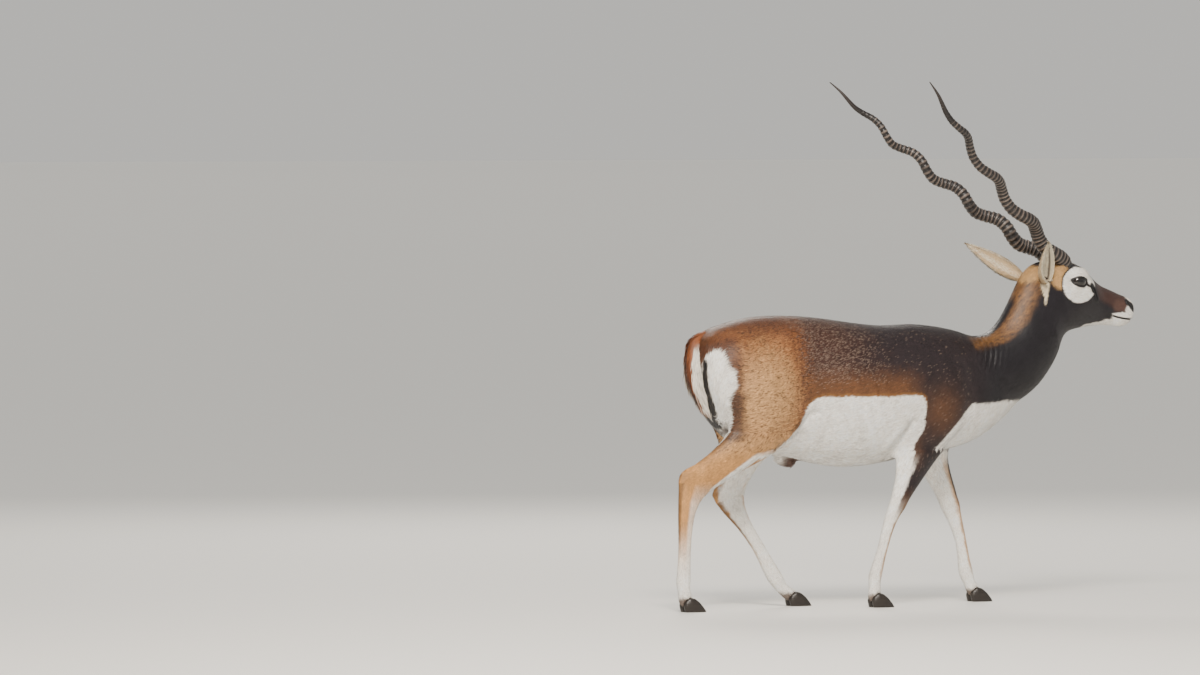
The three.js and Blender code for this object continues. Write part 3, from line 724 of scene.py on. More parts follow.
def mouth_line(x):
    """Height of the line where the lips meet."""
    share = np.clip((x - MOUTH_CORNER[0]) / (MOUTH_FRONT[0] - MOUTH_CORNER[0]), 0, 1)
    straight = MOUTH_CORNER[1] + (MOUTH_FRONT[1] - MOUTH_CORNER[1]) * share
    return straight - MOUTH_SAG * np.sin(math.pi * share)


def slot_depth(points, side, start, end, half, depth):
    """A groove round the line between two spots, deepest along its middle."""
    a, b = both(start, side), both(end, side)
    share = np.clip(((points - a) @ (b - a)) / ((b - a) @ (b - a)), 0, 1)
    far = np.linalg.norm(points - (a + share[:, None] * (b - a)), axis=1)
    return depth * swell(far, half)


spots = turned(drawn(points_of(skin_mesh)), -HEAD_YAW)
for _, side in SIDES:
    centre = both(EYE, side)
    away = spots - centre
    far = np.linalg.norm(away, axis=1)
    ray = away / np.maximum(far, 1e-6)[:, None]
    along, up = lid_place(spots)
    outward = (spots[:, 1] * side > LID_INSIDE) & (far < LID_REACH)
    inside = np.maximum(np.abs(along) / LID_LONG, np.abs(up) / np.maximum(lid_height(along), 0.1))
    edge = np.sqrt(along**2 + (up * LID_LONG / LID_HIGH * 0.72) ** 2)
    closeness = (1 - ease(LID_LONG, LID_LONG + LID_SPREAD, edge)) * outward
    wanted = far + (EYE_RADIUS + LID_RISE - far) * closeness
    for fold_place, width, rise, above in LID_FOLDS:
        wanted += rise * swell(edge - LID_LONG * fold_place, width) * (up * above > 0) * outward
    wanted = np.where((inside < 1) & outward, EYE_RADIUS - EYE_SUNK, wanted)
    spots = centre + ray * wanted[:, None]
    depth = sum(slot_depth(spots, side, *slot) for slot in SLOTS)
    spots[:, 1] -= side * depth * (spots[:, 1] * side > 2)
print("lid opening in mm:", 2 * LID_LONG, "by", 2 * LID_HIGH)

# %%
# Part the lips
LIP_RISE, LIP_GROOVE = 1.3, 3.2
MOUTH_INSIDE = np.array([765.0, 0.0, 0.0])  # the lips are pushed away from the upright line through it
MOUTH_TOP = 790

in_mouth = (spots[:, 0] > MOUTH_CORNER[0] - 2) & (spots[:, 2] < MOUTH_TOP)
above_lips = spots[:, 2] - mouth_line(spots[:, 0])
groove = swell(above_lips, 1.3) * in_mouth
lips = (swell(above_lips - 5, 3.6) + 0.7 * swell(above_lips + 4.5, 3.4)) * in_mouth
pull = (LIP_RISE * lips - LIP_GROOVE * groove) * ease(MOUTH_CORNER[0] - 2, MOUTH_CORNER[0] + 12, spots[:, 0])
flat = spots - MOUTH_INSIDE
flat[:, 2] = 0
flat /= np.maximum(np.linalg.norm(flat, axis=1), 1e-6)[:, None]
flat[:, 0] = np.maximum(flat[:, 0], 0)
spots = spots + flat * pull[:, None]
move_points(skin_mesh, head_placed(spots))
skin_mesh.polygons.foreach_set("use_smooth", np.full(len(skin_mesh.polygons), True))
skin_mesh.update()
print("groove between the lips in mm:", LIP_GROOVE)

# %% [markdown]
# ## The markings
# A mature buck is nearly black above, with a sharp line to the white belly. The rump and thighs stay
# tan with an orange-brown rim, a gold patch runs down the neck, and white rings circle the eyes.
# They could be painted by hand. Soft masks, laid over each other, can be moved by changing one number, and
# one function gives the colour of any spot of the hide, so that skin and hair always agree.

# %%
# Colours of the hide
SADDLE = linear("#22181b")
NECK_DARK = linear("#151116")
LOIN = linear("#4a2a1b")
RIM = linear("#82502a")
THIGH = linear("#bb8f5f")
GOLD = linear("#83592d")
WHITE = linear("#efeae2")
BLACK = linear("#120e11")
FACE = linear("#19141a")
BRIDGE = linear("#4a3028")
NOSE_BROWN = linear("#553c33")
FOREHEAD = linear("#c49a63")
CREAM = linear("#dccdb0")
RUST = linear("#6a4426")
SHANK = linear("#b98750")
SHEATH = linear("#5a4238")
GRIZZLE = linear("#a08a78")
DARKEST, PALEST_HIDE = 0.002, 0.9


def painted(colours, colour, mask):
    """Lays a colour over the colours there are, as far as the mask says."""
    return colours + (colour - colours) * np.clip(mask, 0, 1)[:, None]


def near_path(a, b, path, half, fade):
    """1 within half a width of a path in a plane, fading to 0."""
    return 1 - ease(half - fade / 2, half + fade / 2, path_distance(a, b, path))


def oval(a, b, centre, radii, turn=0.0):
    """Distance from an oval's centre, in units of its radii."""
    c, s = math.cos(turn), math.sin(turn)
    da, db = a - centre[0], b - centre[1]
    return np.hypot((da * c + db * s) / radii[0], (db * c - da * s) / radii[1])


# %%
# Lines of the markings
# A pair of lists gives heights, and how far along or out a line lies at them. A path is a list of places.
WHITE_REAR = ([300, 321, 410, 422, 487, 562, 600], [-520, -505, -381, -323, -264, -220, -205])
WHITE_REAR_LEFT = ([300, 330, 375, 425, 490, 562, 600], [-340, -322, -292, -248, -208, -205, -205])
WHITE_FRONT = ([262, 349, 442, 470, 562], [48, 64, 90, 108, 118])
WHITE_TOP = 562
WHITE_CORNER = 24.0  # radius of the white flank's corners
DARK_FRONT = ([400, 440, 541, 600], [120, 165, 262, 300])
PATCH_OUTER = ([440, 501, 544, 587, 623, 665, 690, 697], [80, 96, 104, 113, 111, 95, 80, 72])
PATCH_INNER = ([600, 640, 670, 690, 697], [0, 20, 46, 62, 72])
# Middle and half width of the black stripe beside the tail: painted shadow of the gap between tail and
# buttock, over black hair
GAP_SHADE_MIDDLE = ([470, 490, 522, 553, 596, 633, 667], [8, 14, 27, 33, 34, 42, 52])
GAP_SHADE_HALF = ([470, 522, 560, 600, 640, 667], [18, 19, 19, 15, 11, 9])
# Path of the painted shade along the thigh's rear edge, low beside the white patch
THIGH_SHADE_PATH = [(112, 560), (112, 500), (106, 462)]
NECK_PATH = [(472, 866), (454, 832), (426, 768), (374, 710), (300, 690)]
NECK_HALF = ([690, 712, 770, 840], [6, 20, 28, 30])
FORELEG_FADE, HINDLEG_FADE = (350, 418), (385, 455)  # heights between which a leg takes its own colours


def neck_gold(p, x, z):
    """The gold patch behind the ears, which runs down the side of the neck and narrows to its end."""
    half = np.interp(z, *NECK_HALF)
    streak = 0.72 + 0.4 * mottle(p * np.array([0.4, 1, 1]), 3.5, 5)
    nape = ease(12, 26, np.abs(p[:, 1])) + ease(800, 835, z)
    near = ease(half + 14, half - 12, path_distance(x, z, NECK_PATH))
    return 0.85 * near * np.clip(nape, 0, 1) * np.clip(streak, 0, 1)


print("heights of the white flank in mm:", WHITE_REAR[0][0], "to", WHITE_TOP)


# %%
# Colours of the trunk
def upper_colours(p, x, z):
    """The dark saddle and neck, the orange-brown rump and the tan thighs."""
    speck = 10 * mottle(p, 7, 3) + 12 * mottle(p, 3, 4) + 12 * mottle(p, 2, 6)
    colours = np.repeat(SADDLE[None], len(p), 0)
    colours = painted(colours, LOIN, 0.6 * ease(60, -200, x + 30 * mottle(p, 30, 7)))
    colours = painted(colours, NECK_DARK, ease(250, 360, x))
    rear = ease(-205, -285, x + 1.3 * speck)
    colours = painted(colours, RIM, rear)
    tan = 1 - ease(0.3, 1.25, oval(x, z, (-366, 556), (118, 158), -0.15) + speck / 110)
    tan = np.maximum(tan, ease(520, 440, z)) * rear
    colours = painted(colours, THIGH, tan)
    colours = painted(colours, LOIN, 0.85 * rear * ease(700, 765, z + speck * 0.6))
    low_edge = ease(655, 572, z + speck * 0.5) * ease(-262, -225, x) * (1 - ease(40, 130, x))
    colours = painted(colours, RUST, 0.85 * low_edge)
    shoulder = np.exp(-(((x - 165) / 60) ** 2) - ((z - 520) / 60) ** 2)
    return painted(colours, RUST, 0.55 * shoulder)


def underside(colours, p, x, z, owner):
    """The white flank, chest and belly, with the dark tip of the sheath."""
    half_width = np.abs(p[:, 1])
    left = p[:, 1] > 0
    ahead = x - 85 * left * ease(620, 470, z) * ease(0, 80, x)
    front = np.interp(z, *WHITE_FRONT)
    back = np.where(left, np.interp(z, *WHITE_REAR_LEFT), np.interp(z, *WHITE_REAR))
    depths = [np.maximum(WHITE_CORNER - d, 0) for d in (WHITE_TOP - z, x - back, front - ahead)]
    from_edge = np.sqrt(depths[0] ** 2 + depths[1] ** 2 + depths[2] ** 2) - WHITE_CORNER
    colours = painted(colours, GOLD, 0.8 * ease(12, 3, from_edge) * ease(520, 545, z) * (x < 120))
    flank = ease(3, -3, from_edge)
    chest = ease(3, -3, z - (541 + (x - 301) * 0.06)) * ease(-4, 4, ahead - np.interp(z, *DARK_FRONT))
    chest *= owner == 0
    belly = ease(430, 405, z) * (half_width < 60)
    inner_thigh = ease(505, 480, z) * (half_width < 56) * (x < -200)
    white = np.max([flank, chest, belly, inner_thigh], axis=0)
    colours = painted(colours, WHITE, white)
    sheath = ease(-278, -238, x) * ease(408, 394, z) * ease(-200, -208, x) * (half_width < 18)
    return painted(colours, SHEATH, sheath)


def rump_patch(colours, half_width, x, z):
    """The white patch round the tail with its brown rim, painted shade along the thigh's rear edge, and on
    each side of the tail a black stripe: painted shadow of the gap over black hair.
    """
    outer, inside = np.interp(z, *PATCH_OUTER), np.interp(z, *PATCH_INNER)
    # A brown rim round the patch, which at the thigh's rear edge also paints the shade there.
    rim = ease(outer + 30, outer + 4, half_width) * ease(-414, -440, x) * ease(735, 700, z)
    colours = painted(colours, LOIN, 0.8 * rim)
    # Painted shade along the thigh's rear edge, low beside the white patch.
    hollow = near_path(half_width, z, THIGH_SHADE_PATH, 12, 24) * ease(-404, -432, x)
    colours = painted(colours, LOIN * 0.7, 0.7 * hollow)
    behind = ease(-436, -448, x)
    patch = ease(outer + 3, outer - 3, half_width) * ease(inside - 3, inside + 3, half_width)
    colours = painted(colours, WHITE, behind * patch * ease(702, 695, z))
    # Black stripe on each side of the tail: painted shadow of the gap between tail and buttock, over black
    # hair there.
    from_gap_shade = np.abs(half_width - np.interp(z, *GAP_SHADE_MIDDLE)) - np.interp(z, *GAP_SHADE_HALF)
    stripe = ease(2.5, -2.5, from_gap_shade) * ease(674, 668, z) * ease(462, 474, z)
    return painted(colours, BLACK, stripe * behind)


print("gold of the neck runs over", len(NECK_PATH), "places")


# %%
# Colours of the legs
def leg_colours(p, fray, number):
    """White, with a dark stripe down the front of a foreleg or a tan outer side of a hind leg."""
    side = LINE_SIDE[number]
    _, far, direction, offset = follow(p, LINES[number])
    rise = np.cross(direction, np.array([0.0, 1.0, 0.0]))
    ahead = (rise * offset).sum(1) / np.maximum(far, 1)
    out = offset[:, 1] * side / np.maximum(far, 1)
    h = p[:, 2] + fray
    edge = 0.04 * fray
    colours = np.repeat(WHITE[None], len(p), 0)
    if number in FORELEGS:
        stripe = ease(-0.25, 0.15, ahead + 0.25 * out + edge) * ease(-0.75, -0.45, out)
        colours = painted(colours, THIGH, 0.8 * ease(0.2, 0.7, ahead + edge) * ease(60, 120, h))
        colours = painted(colours, SADDLE, stripe * ease(250, 300, h))
        colours = painted(colours, RUST, 0.6 * stripe * ease(230, 262, h) * (1 - ease(262, 330, h)))
    else:
        outer = ease(-0.5, -0.2, out + edge)
        pale_front = 0.55 * ease(-0.2, 0.5, ahead) * ease(350, 270, h)
        colours = painted(colours, SHANK, outer * ease(70, 250, h) * (1 - pale_front))
        hock_line = ease(0.86, 0.96, -ahead) * ease(150, 220, h) * (1 - ease(330, 380, h))
        colours = painted(colours, RUST * 0.4, 0.55 * hock_line)
        heights, places = WHITE_REAR if side < 0 else WHITE_REAR_LEFT
        white_line = near_path(p[:, 0], p[:, 2], list(zip(places, heights)), 9, 6)
        colours = painted(colours, WHITE, white_line * (h > KNEE_HEIGHT))
    return painted(colours, RUST * 0.5, ease(44, 30, h) * 0.85)


def body_colours(p, owner):
    """Colours of trunk, neck and legs, from places in the drawing."""
    fray = 3.5 * mottle(p, 14, 1) + 2.0 * mottle(p, 5, 2)
    x = p[:, 0] + fray
    z = p[:, 2] + fray * 0.7
    colours = upper_colours(p, x, z)
    colours = underside(colours, p, x, z, owner)
    colours = painted(colours, GOLD, neck_gold(p, x, z))
    colours = rump_patch(colours, np.abs(p[:, 1]), x, z)
    for number in FORELEGS + HINDLEGS:
        mine = owner == number
        if mine.any():
            fade = FORELEG_FADE if number in FORELEGS else HINDLEG_FADE
            from_body = ease(*fade, p[mine, 2])[:, None]
            leg = leg_colours(p[mine], fray[mine], number)
            colours[mine] = leg * (1 - from_body) + colours[mine] * from_body
    return colours


print("legs take their own colours below", FORELEG_FADE[1], "and", HINDLEG_FADE[1], "mm")


# %%
# Colours of the head
def eye_markings(colours, p, x, z):
    """The white ring round the eye, the scent gland's slit, the black lids and the tear duct."""
    side_on = ease(20, 30, np.abs(p[:, 1]))
    socket = oval(x, z, (608, 846), (54, 48), 0.12)
    colours = painted(colours, BLACK, ease(1.14, 1.04, socket) * side_on)
    colours = painted(colours, WHITE, ease(1.03, 0.97, socket) * side_on)
    scent = near_path(x, z, [(650, 843), (668, 806)], 8, 4) * side_on
    colours = painted(colours, BLACK, scent)
    along, up = lid_place(p)
    lid_share = np.abs(up) / np.maximum(lid_height(along * 0.9) + 3.2, 0.1)
    lids = np.maximum(np.abs(along) / (LID_LONG + 3.0), lid_share)
    tear = near_path(x, z, [(628, 850), (640, 842)], 4.0, 3)
    return painted(colours, BLACK, np.maximum(ease(1.08, 0.98, lids), tear) * side_on)


def muzzle_colours(colours, p, x, z, fray):
    """The brown snout, the white nose, lips and chin, the dark nostril and the line of the mouth."""
    half_width = np.abs(p[:, 1])
    snout = ease(1.25, 0.7, oval(x, z, (752, 788), (22, 17)) + 0.12 * mottle(p, 6, 13))
    colours = painted(colours, NOSE_BROWN, 0.85 * snout)
    nose = ease(765, 775, x - (z - 765) * 0.25 + 2.5 * np.sin((z - 770) / 5))
    upper_lip = ease(4, -1, z - (767 + (x - 730) * 0.05)) * ease(724, 732, x)
    chin = ease(4, -2, z - (752 - (x - 720) * 0.02)) * ease(700, 712, x)
    colours = painted(colours, WHITE, np.max([nose, upper_lip, chin], axis=0))
    jaw = near_path(x, z, [(712, 744), (680, 739), (645, 733)], 6, 4)
    colours = painted(colours, WHITE, jaw)
    colours = painted(colours, BLACK, ease(1.1, 0.8, oval(x, z, (716, 765), (8, 7))))
    slot = near_path(x, z, NOSTRIL_PATH, 8.5, 2.5)
    colours = painted(colours, BLACK, slot * ease(4, 9, half_width))
    colours = painted(colours, FACE * 1.4, ease(7, 4, half_width) * ease(798, 803, x) * ease(770, 776, z))
    between_lips = ease(3.4, 2.0, np.abs(z - fray - mouth_line(x)))
    return painted(colours, BLACK, between_lips * ease(724, 732, x))


def head_colours(p):
    """Colours of the head, from places in the drawing with the head facing straight ahead."""
    fray = 1.3 * mottle(p, 7, 11) + 0.8 * mottle(p, 3, 12)
    x = p[:, 0] + fray
    z = p[:, 2] + fray
    half_width = np.abs(p[:, 1])
    colours = np.repeat(FACE[None], len(p), 0)
    colours = painted(colours, GOLD, neck_gold(p, x, z))
    colours = painted(colours, BRIDGE, 0.75 * ease(655, 690, x) * ease(788, 806, z + (x - 700) * 0.35))
    temple = oval(x, z, (550, 872), (28, 34), -0.35) + 0.1 * mottle(p, 5, 14)
    colours = painted(colours, FOREHEAD, 0.9 * ease(1.3, 0.8, temple) * ease(12, 24, half_width))
    crest = ease(1.3, 0.8, oval(x, z, (462, 884), (38, 24)) + 0.1 * mottle(p, 5, 15))
    colours = painted(colours, FOREHEAD, 0.7 * crest)
    brow = ease(30, 12, half_width) * ease(590, 620, x) * ease(860, 880, z)
    colours = painted(colours, FOREHEAD, 0.35 * brow)
    colours = eye_markings(colours, p, x, z)
    colours = muzzle_colours(colours, p, x, z, fray)
    below_half = np.interp(z, [798, 850], [0.5, 12])
    below_ear = ease(below_half + 3, below_half - 3, np.abs(x - 503)) * ease(796, 804, z) * ease(862, 850, z)
    return painted(colours, CREAM, below_ear * ease(30, 42, half_width))


def hide_colours(points):
    """The colour of any place on the hide, given in metres."""
    p = drawn(points)
    faced = turned(p, -HEAD_YAW)
    head_share = ease(-14, 14, (faced[:, 0] - 470) + (faced[:, 2] - 800) * 0.52)
    body = body_colours(p, line_of(p))
    face = head_colours(faced)
    colours = body * (1 - head_share[:, None]) + face * head_share[:, None]
    tone = 1 + 0.10 * mottle(p, 22, 21) + 0.12 * mottle(p, 4, 22)
    return np.clip(colours * tone[:, None], DARKEST, PALEST_HIDE)


skin_place = points_of(skin_mesh)
set_colours(skin_mesh, "hide", hide_colours(skin_place))
print("hide colours set on", len(skin_place), "points")

# %% [markdown]
# ## Unrolling the hide
# The hide is unrolled along the body's lines: the trunk, neck and head as one strip and each leg as its own.
# Each face is laid out as a whole, so the cut lies along the belly and the inside of the legs. An automatic
# unwrap could turn the streaks of the coat another way in every scrap.

# %%
# Lay the hide out flat
HIDE_SPAN = 1800.0  # millimetres across the whole unrolled sheet
STRIP_LEFT = (0.03, 0.03, 0.5, 0.03, 0.5)
STRIP_MIDDLE = (0.26, 0.64, 0.64, 0.86, 0.86)
GIRTH = (900.0, 300.0, 300.0, 330.0, 330.0)
STRIP_LEAD = 40  # millimetres of hide before a line's first point


def unrolled(points, number):
    """Places on the flat hide for points along one line, and the height of one full turn."""
    arc, _, direction, offset = follow(points, LINES[number])
    turn = angle_round(direction, offset, LINE_SIDE[number]) / (2 * math.pi)
    along = STRIP_LEFT[number] + (arc + STRIP_LEAD) / HIDE_SPAN
    full_turn = GIRTH[number] / HIDE_SPAN
    return along, STRIP_MIDDLE[number] + turn * full_turn, full_turn


corner_point = np.zeros(len(skin_mesh.loops), np.int32)
skin_mesh.loops.foreach_get("vertex_index", corner_point)
totals = np.zeros(len(skin_mesh.polygons), np.int32)
skin_mesh.polygons.foreach_get("loop_total", totals)
starts = np.r_[0, np.cumsum(totals)[:-1]]
face_of_corner = np.repeat(np.arange(len(totals)), totals)
skin_spots = drawn(skin_place)
skin_owner = line_of(skin_spots)
face_owner = skin_owner[corner_point[starts]]
hide_map = np.zeros((len(corner_point), 2))
for number in range(len(LINES)):
    u, v, full_turn = unrolled(skin_spots, number)
    corners = np.flatnonzero(face_owner[face_of_corner] == number)
    first = v[corner_point[starts[face_of_corner[corners]]]]
    here = v[corner_point[corners]]
    here = here - full_turn * np.round((here - first) / full_turn)
    hide_map[corners] = np.stack([u[corner_point[corners]], here], 1)
set_map(skin_mesh, hide_map)
print("flat hide from", hide_map.min(0).round(3), "to", hide_map.max(0).round(3))

# %% [markdown]
# ## The coat's finish
# Short summer hair lies flat and shines softly. Its colour comes from the markings, broken up by fine
# streaks a millimetre wide that run along the lie of the hair, and the same streaks give a shallow relief.

# %%
# Finish of skin and hair
STREAK_LONG, STREAK_WIDE = 14, 1.3  # in mm

coat_finish, tree, shader = new_finish("short_coat")
hide = add_node(tree, "ShaderNodeVertexColor", {"layer_name": "hide"})
flat_map = add_node(tree, "ShaderNodeUVMap", {"uv_map": "OFBake"})
stretch = {"Scale": (HIDE_SPAN / STREAK_LONG, HIDE_SPAN / STREAK_WIDE, 1)}
stretched = add_node(tree, "ShaderNodeMapping", stretch, {"Vector": flat_map.outputs["UV"]})
noise = {"Scale": 1.0, "Detail": 3.0, "Roughness": 0.6}
streaks = add_node(tree, "ShaderNodeTexNoise", noise, {"Vector": stretched.outputs[0]})
spread = {"From Min": 0.3, "From Max": 0.7, "To Min": 0.62, "To Max": 1.35}
streak_tone = add_node(tree, "ShaderNodeMapRange", spread, {"Value": streaks.outputs["Fac"]})
toned = add_tone(tree, hide.outputs["Color"], streak_tone.outputs[0])
tree.links.new(toned, shader.inputs["Base Color"])
add_relief(tree, shader, streaks.outputs["Fac"], 0.5, 0.0006)
brightness = add_node(tree, "ShaderNodeRGBToBW", {}, {"Color": hide.outputs["Color"]})
spread = {"From Min": 0.01, "From Max": 0.3, "To Min": 0.42, "To Max": 0.62}
gloss = add_node(tree, "ShaderNodeMapRange", spread, {"Value": brightness.outputs[0]})
tree.links.new(gloss.outputs[0], shader.inputs["Roughness"])
shader.inputs["IOR"].default_value = 1.5
shader.inputs["Sheen Weight"].default_value = 0.08
shader.inputs["Sheen Roughness"].default_value = 0.4
skin_mesh.materials.clear()
skin_mesh.materials.append(coat_finish)
print("coat finish has", len(tree.nodes), "nodes")

# %% [markdown]
# ## The hair
# Hair grows in small flat tufts that overlap like tiles. Each is a thin tapered blade of three triangles,
# rooted in the skin and lying along the body's lines: backward on the trunk, up and back on the face,
# down on the legs. They are shortest on the face and feet and longest on the chest, belly and buttocks.
# Strands from a hair system would be finer, but tufts made of triangles can be exported like any piece.

# %%
# Where hair grows, and how long
skin_mesh.calc_loop_triangles()
triangle_count = len(skin_mesh.loop_triangles)
tri_points = np.zeros(triangle_count * 3, np.int32)
tri_corners = np.zeros(triangle_count * 3, np.int32)
skin_mesh.loop_triangles.foreach_get("vertices", tri_points)
skin_mesh.loop_triangles.foreach_get("loops", tri_corners)
tri_points = tri_points.reshape(-1, 3)
tri_corners = tri_corners.reshape(-1, 3)
tri_area = np.linalg.norm(
    np.cross(
        skin_place[tri_points[:, 1]] - skin_place[tri_points[:, 0]],
        skin_place[tri_points[:, 2]] - skin_place[tri_points[:, 0]],
    ),
    axis=1,
) / (2 * MM * MM)
skin_normal = normals_of(skin_mesh)


def hair_length(p, owner):
    """Length of the hair in millimetres at places of the drawing."""
    x, _, z = p.T
    faced = turned(p, -HEAD_YAW)
    length = np.full(len(p), 12.0)
    length += 5 * ease(440, 380, z) * (owner == 0)
    length += 7 * ease(-440, -470, x) * ease(440, 500, z) * (owner == 0)
    length += 4 * ease(300, 420, x) * ease(620, 560, z)
    length = np.where(owner > 0, 6 + 7 * ease(250, 450, z), length)
    on_face = ease(500, 560, faced[:, 0] + (faced[:, 2] - 800) * 0.5)
    length = length * (1 - on_face) + 5.0 * on_face
    muzzle = ease(690, 760, faced[:, 0])
    return length * (1 - muzzle) + 3.0 * muzzle


def bare(p):
    """True where no hair grows: between the lids, in the nostrils, on the lips' edge and the nose."""
    faced = turned(p, -HEAD_YAW)
    x, y, z = faced.T
    along, up = lid_place(faced)
    between_lids = (np.abs(along) < LID_LONG + 3) & (np.abs(up) < lid_height(along * 0.85) + 3)
    eye = between_lids & (np.abs(y) > 25) & (x < 650)
    nostril = path_distance(x, z, NOSTRIL_PATH) < 5
    nose = (x > 798) & (z > 762)
    mouth = (x > MOUTH_CORNER[0] - 2) & (np.abs(z - mouth_line(x)) < 2.6)
    return eye | nostril | nose | mouth


print("skin in square metres:", round(float(tri_area.sum()) * MM * MM, 3))

# %%
# Sow the roots
TUFTS = 300000
HAIR_SEED = 7
COVER = 0.9  # tufts on a square millimetre times their length: shorter ones stand closer

draw = np.random.default_rng(HAIR_SEED)
middle = drawn(skin_place[tri_points].mean(1))
tri_owner = skin_owner[tri_points[:, 0]]
density = np.clip(COVER / hair_length(middle, tri_owner), 0.06, 0.24)
share = tri_area * density * ~bare(middle)
wanted = TUFTS * share / share.sum()
counts = np.floor(wanted + draw.random(len(wanted))).astype(int)
which = np.repeat(np.arange(triangle_count), counts)
weights = draw.random((len(which), 2))
over = weights.sum(1) > 1
weights[over] = 1 - weights[over]
weights = np.c_[1 - weights.sum(1), weights]


def from_corners(values, index):
    """A value at each root, from those at its triangle's corners."""
    return (values[index[which]] * weights[:, :, None]).sum(1)


root = from_corners(skin_place, tri_points)
root_normal = from_corners(skin_normal, tri_points)
root_normal /= np.linalg.norm(root_normal, axis=1)[:, None]
root_map = from_corners(hide_map, tri_corners)
root_owner = tri_owner[which]
root_spots = drawn(root)
print("tufts sown:", len(root))

# %%
# Comb the hair
lie = np.zeros((len(root), 3))
for number in range(len(LINES)):
    mine = root_owner == number
    direction = follow(root_spots[mine], LINES[number])[2]
    lie[mine] = direction * (1 if number else -1)
down = np.array([0.0, 0.0, -1.0])
lie += down * (0.45 * (root_owner == 0) * ease(480, 380, root_spots[:, 0]))[:, None]
rump_share = ease(-440, -490, root_spots[:, 0]) * (root_owner == 0)
lie = lie * (1 - 0.7 * rump_share[:, None]) + down * rump_share[:, None]
lie += draw.normal(scale=0.10, size=lie.shape)
lie -= root_normal * (lie * root_normal).sum(1)[:, None]
lie /= np.maximum(np.linalg.norm(lie, axis=1), 1e-6)[:, None]
broad = np.cross(root_normal, lie)

long = hair_length(root_spots, root_owner) * draw.uniform(0.75, 1.25, len(root))
wide = np.clip(long * 0.09, 0.45, 1.2) * draw.uniform(0.8, 1.2, len(root))
lift = 0.13 + 0.05 * draw.random(len(root))
lift = np.where(long > 15, lift * 1.3, lift)
print("tufts from", long.min().round(1), "to", long.max().round(1), "mm long")

# %%
# Grow the tufts
PATCH = 0.003  # size of a tuft's place on the flat hide
PATCH_SHAPE = np.array([[-0.5, -0.3], [-0.5, 0.3], [0.0, -0.5], [0.0, 0.5], [0.5, 0.0]]) * PATCH
BLADE = np.array([[0, 1, 3], [0, 3, 2], [2, 3, 4]])  # the triangles of one tuft
ROOT_SUNK = 0.4
PALEST = 0.95
TIP_LIGHT = np.array([0.9, 0.9, 1.05, 1.05, 1.2])  # how light a tuft's points are, the tip last


def blades(keep):
    """Points of the chosen tufts: two at the root, two at the middle and the tip."""
    at, up, ahead = root[keep], root_normal[keep], lie[keep]
    length = (long[keep] * MM)[:, None]
    rise = up * length * lift[keep][:, None]
    half_width = broad[keep] * (wide[keep] * MM)[:, None]
    base = at - up * ROOT_SUNK * MM
    half = at + ahead * length * 0.5 + rise * 0.62
    tip = at + ahead * length + rise * 0.55
    return np.stack(
        [base - half_width * 0.7, base + half_width * 0.7, half - half_width, half + half_width, tip], 1
    )


def faces_of(count, one):
    """The triangles of so many equal tufts, from those of one."""
    return (np.arange(count)[:, None, None] * (one.max() + 1) + one).reshape(-1, 3)


def set_tufts(piece, triangles, colours, places, patch_shape):
    """Colours the tufts of a piece and lays each at its root's place on the flat hide."""
    set_colours(piece.data, "hide", colours.reshape(-1, 3))
    patch = (places[:, None, :] + patch_shape).reshape(-1, 2)
    set_map(piece.data, patch[triangles.ravel()])
    piece.data.materials.append(coat_finish)


def tuft_colours(keep):
    """Hide colours that vary from tuft to tuft, with grizzled and dark ones among them."""
    colours = hide_colours(root[keep])
    tone = draw.uniform(0.84, 1.18, len(keep))
    x, _, z = root_spots[keep].T
    grey_share = 0.03 + 0.32 * ease(40, -130, x) * ease(-300, -240, x) * ease(560, 640, z)
    pale = (draw.random(len(keep)) < grey_share) & (colours.mean(1) < 0.06) & (x < 260)
    dark = (draw.random(len(keep)) < 0.16) & (x < -225) & (z > 420) & (colours.mean(1) < 0.5)
    colours[dark] *= 0.4
    colours = colours[:, None, :] * (tone[:, None] * TIP_LIGHT)[:, :, None]
    colours[pale, 2:4] += (GRIZZLE - colours[pale, 2:4]) * 0.15
    colours[pale, 4] += (GRIZZLE - colours[pale, 4]) * 0.7
    return np.clip(colours, DARKEST, PALEST)


regions = {
    "coat_face": (root_spots[:, 0] > 500) & (root_spots[:, 2] > 700),
    "coat_neck": (root_spots[:, 0] > 300),
    "coat_forelegs": (root_owner == 1) | (root_owner == 2),
    "coat_hindlegs": root_owner > 2,
    "coat_rump": root_spots[:, 0] < -260,
    "coat_right_side": root_spots[:, 1] < 0,
    "coat_left_side": root_spots[:, 1] >= 0,
}
taken = np.zeros(len(root), bool)
coat_pieces = []
for name, inside in regions.items():
    keep = np.flatnonzero(inside & ~taken)
    taken |= inside
    triangles = faces_of(len(keep), BLADE)
    piece = build_mesh(name, blades(keep).reshape(-1, 3), triangles)
    set_tufts(piece, triangles, tuft_colours(keep), root_map[keep], PATCH_SHAPE)
    coat_pieces.append(piece)
    print(name, len(keep), "tufts,", len(triangles), "triangles")

# %% [markdown]
# ## The eyes
# The eye is one dark wet ball with a wide level pupil. Its surface is polished and its edge is set in black,
# moist lid margins, swept as thin rolls along the almond of the opening. A clear ball over an inner one
# would be truer to life. One ball with a clear coat is simpler, and this eye is almost black.

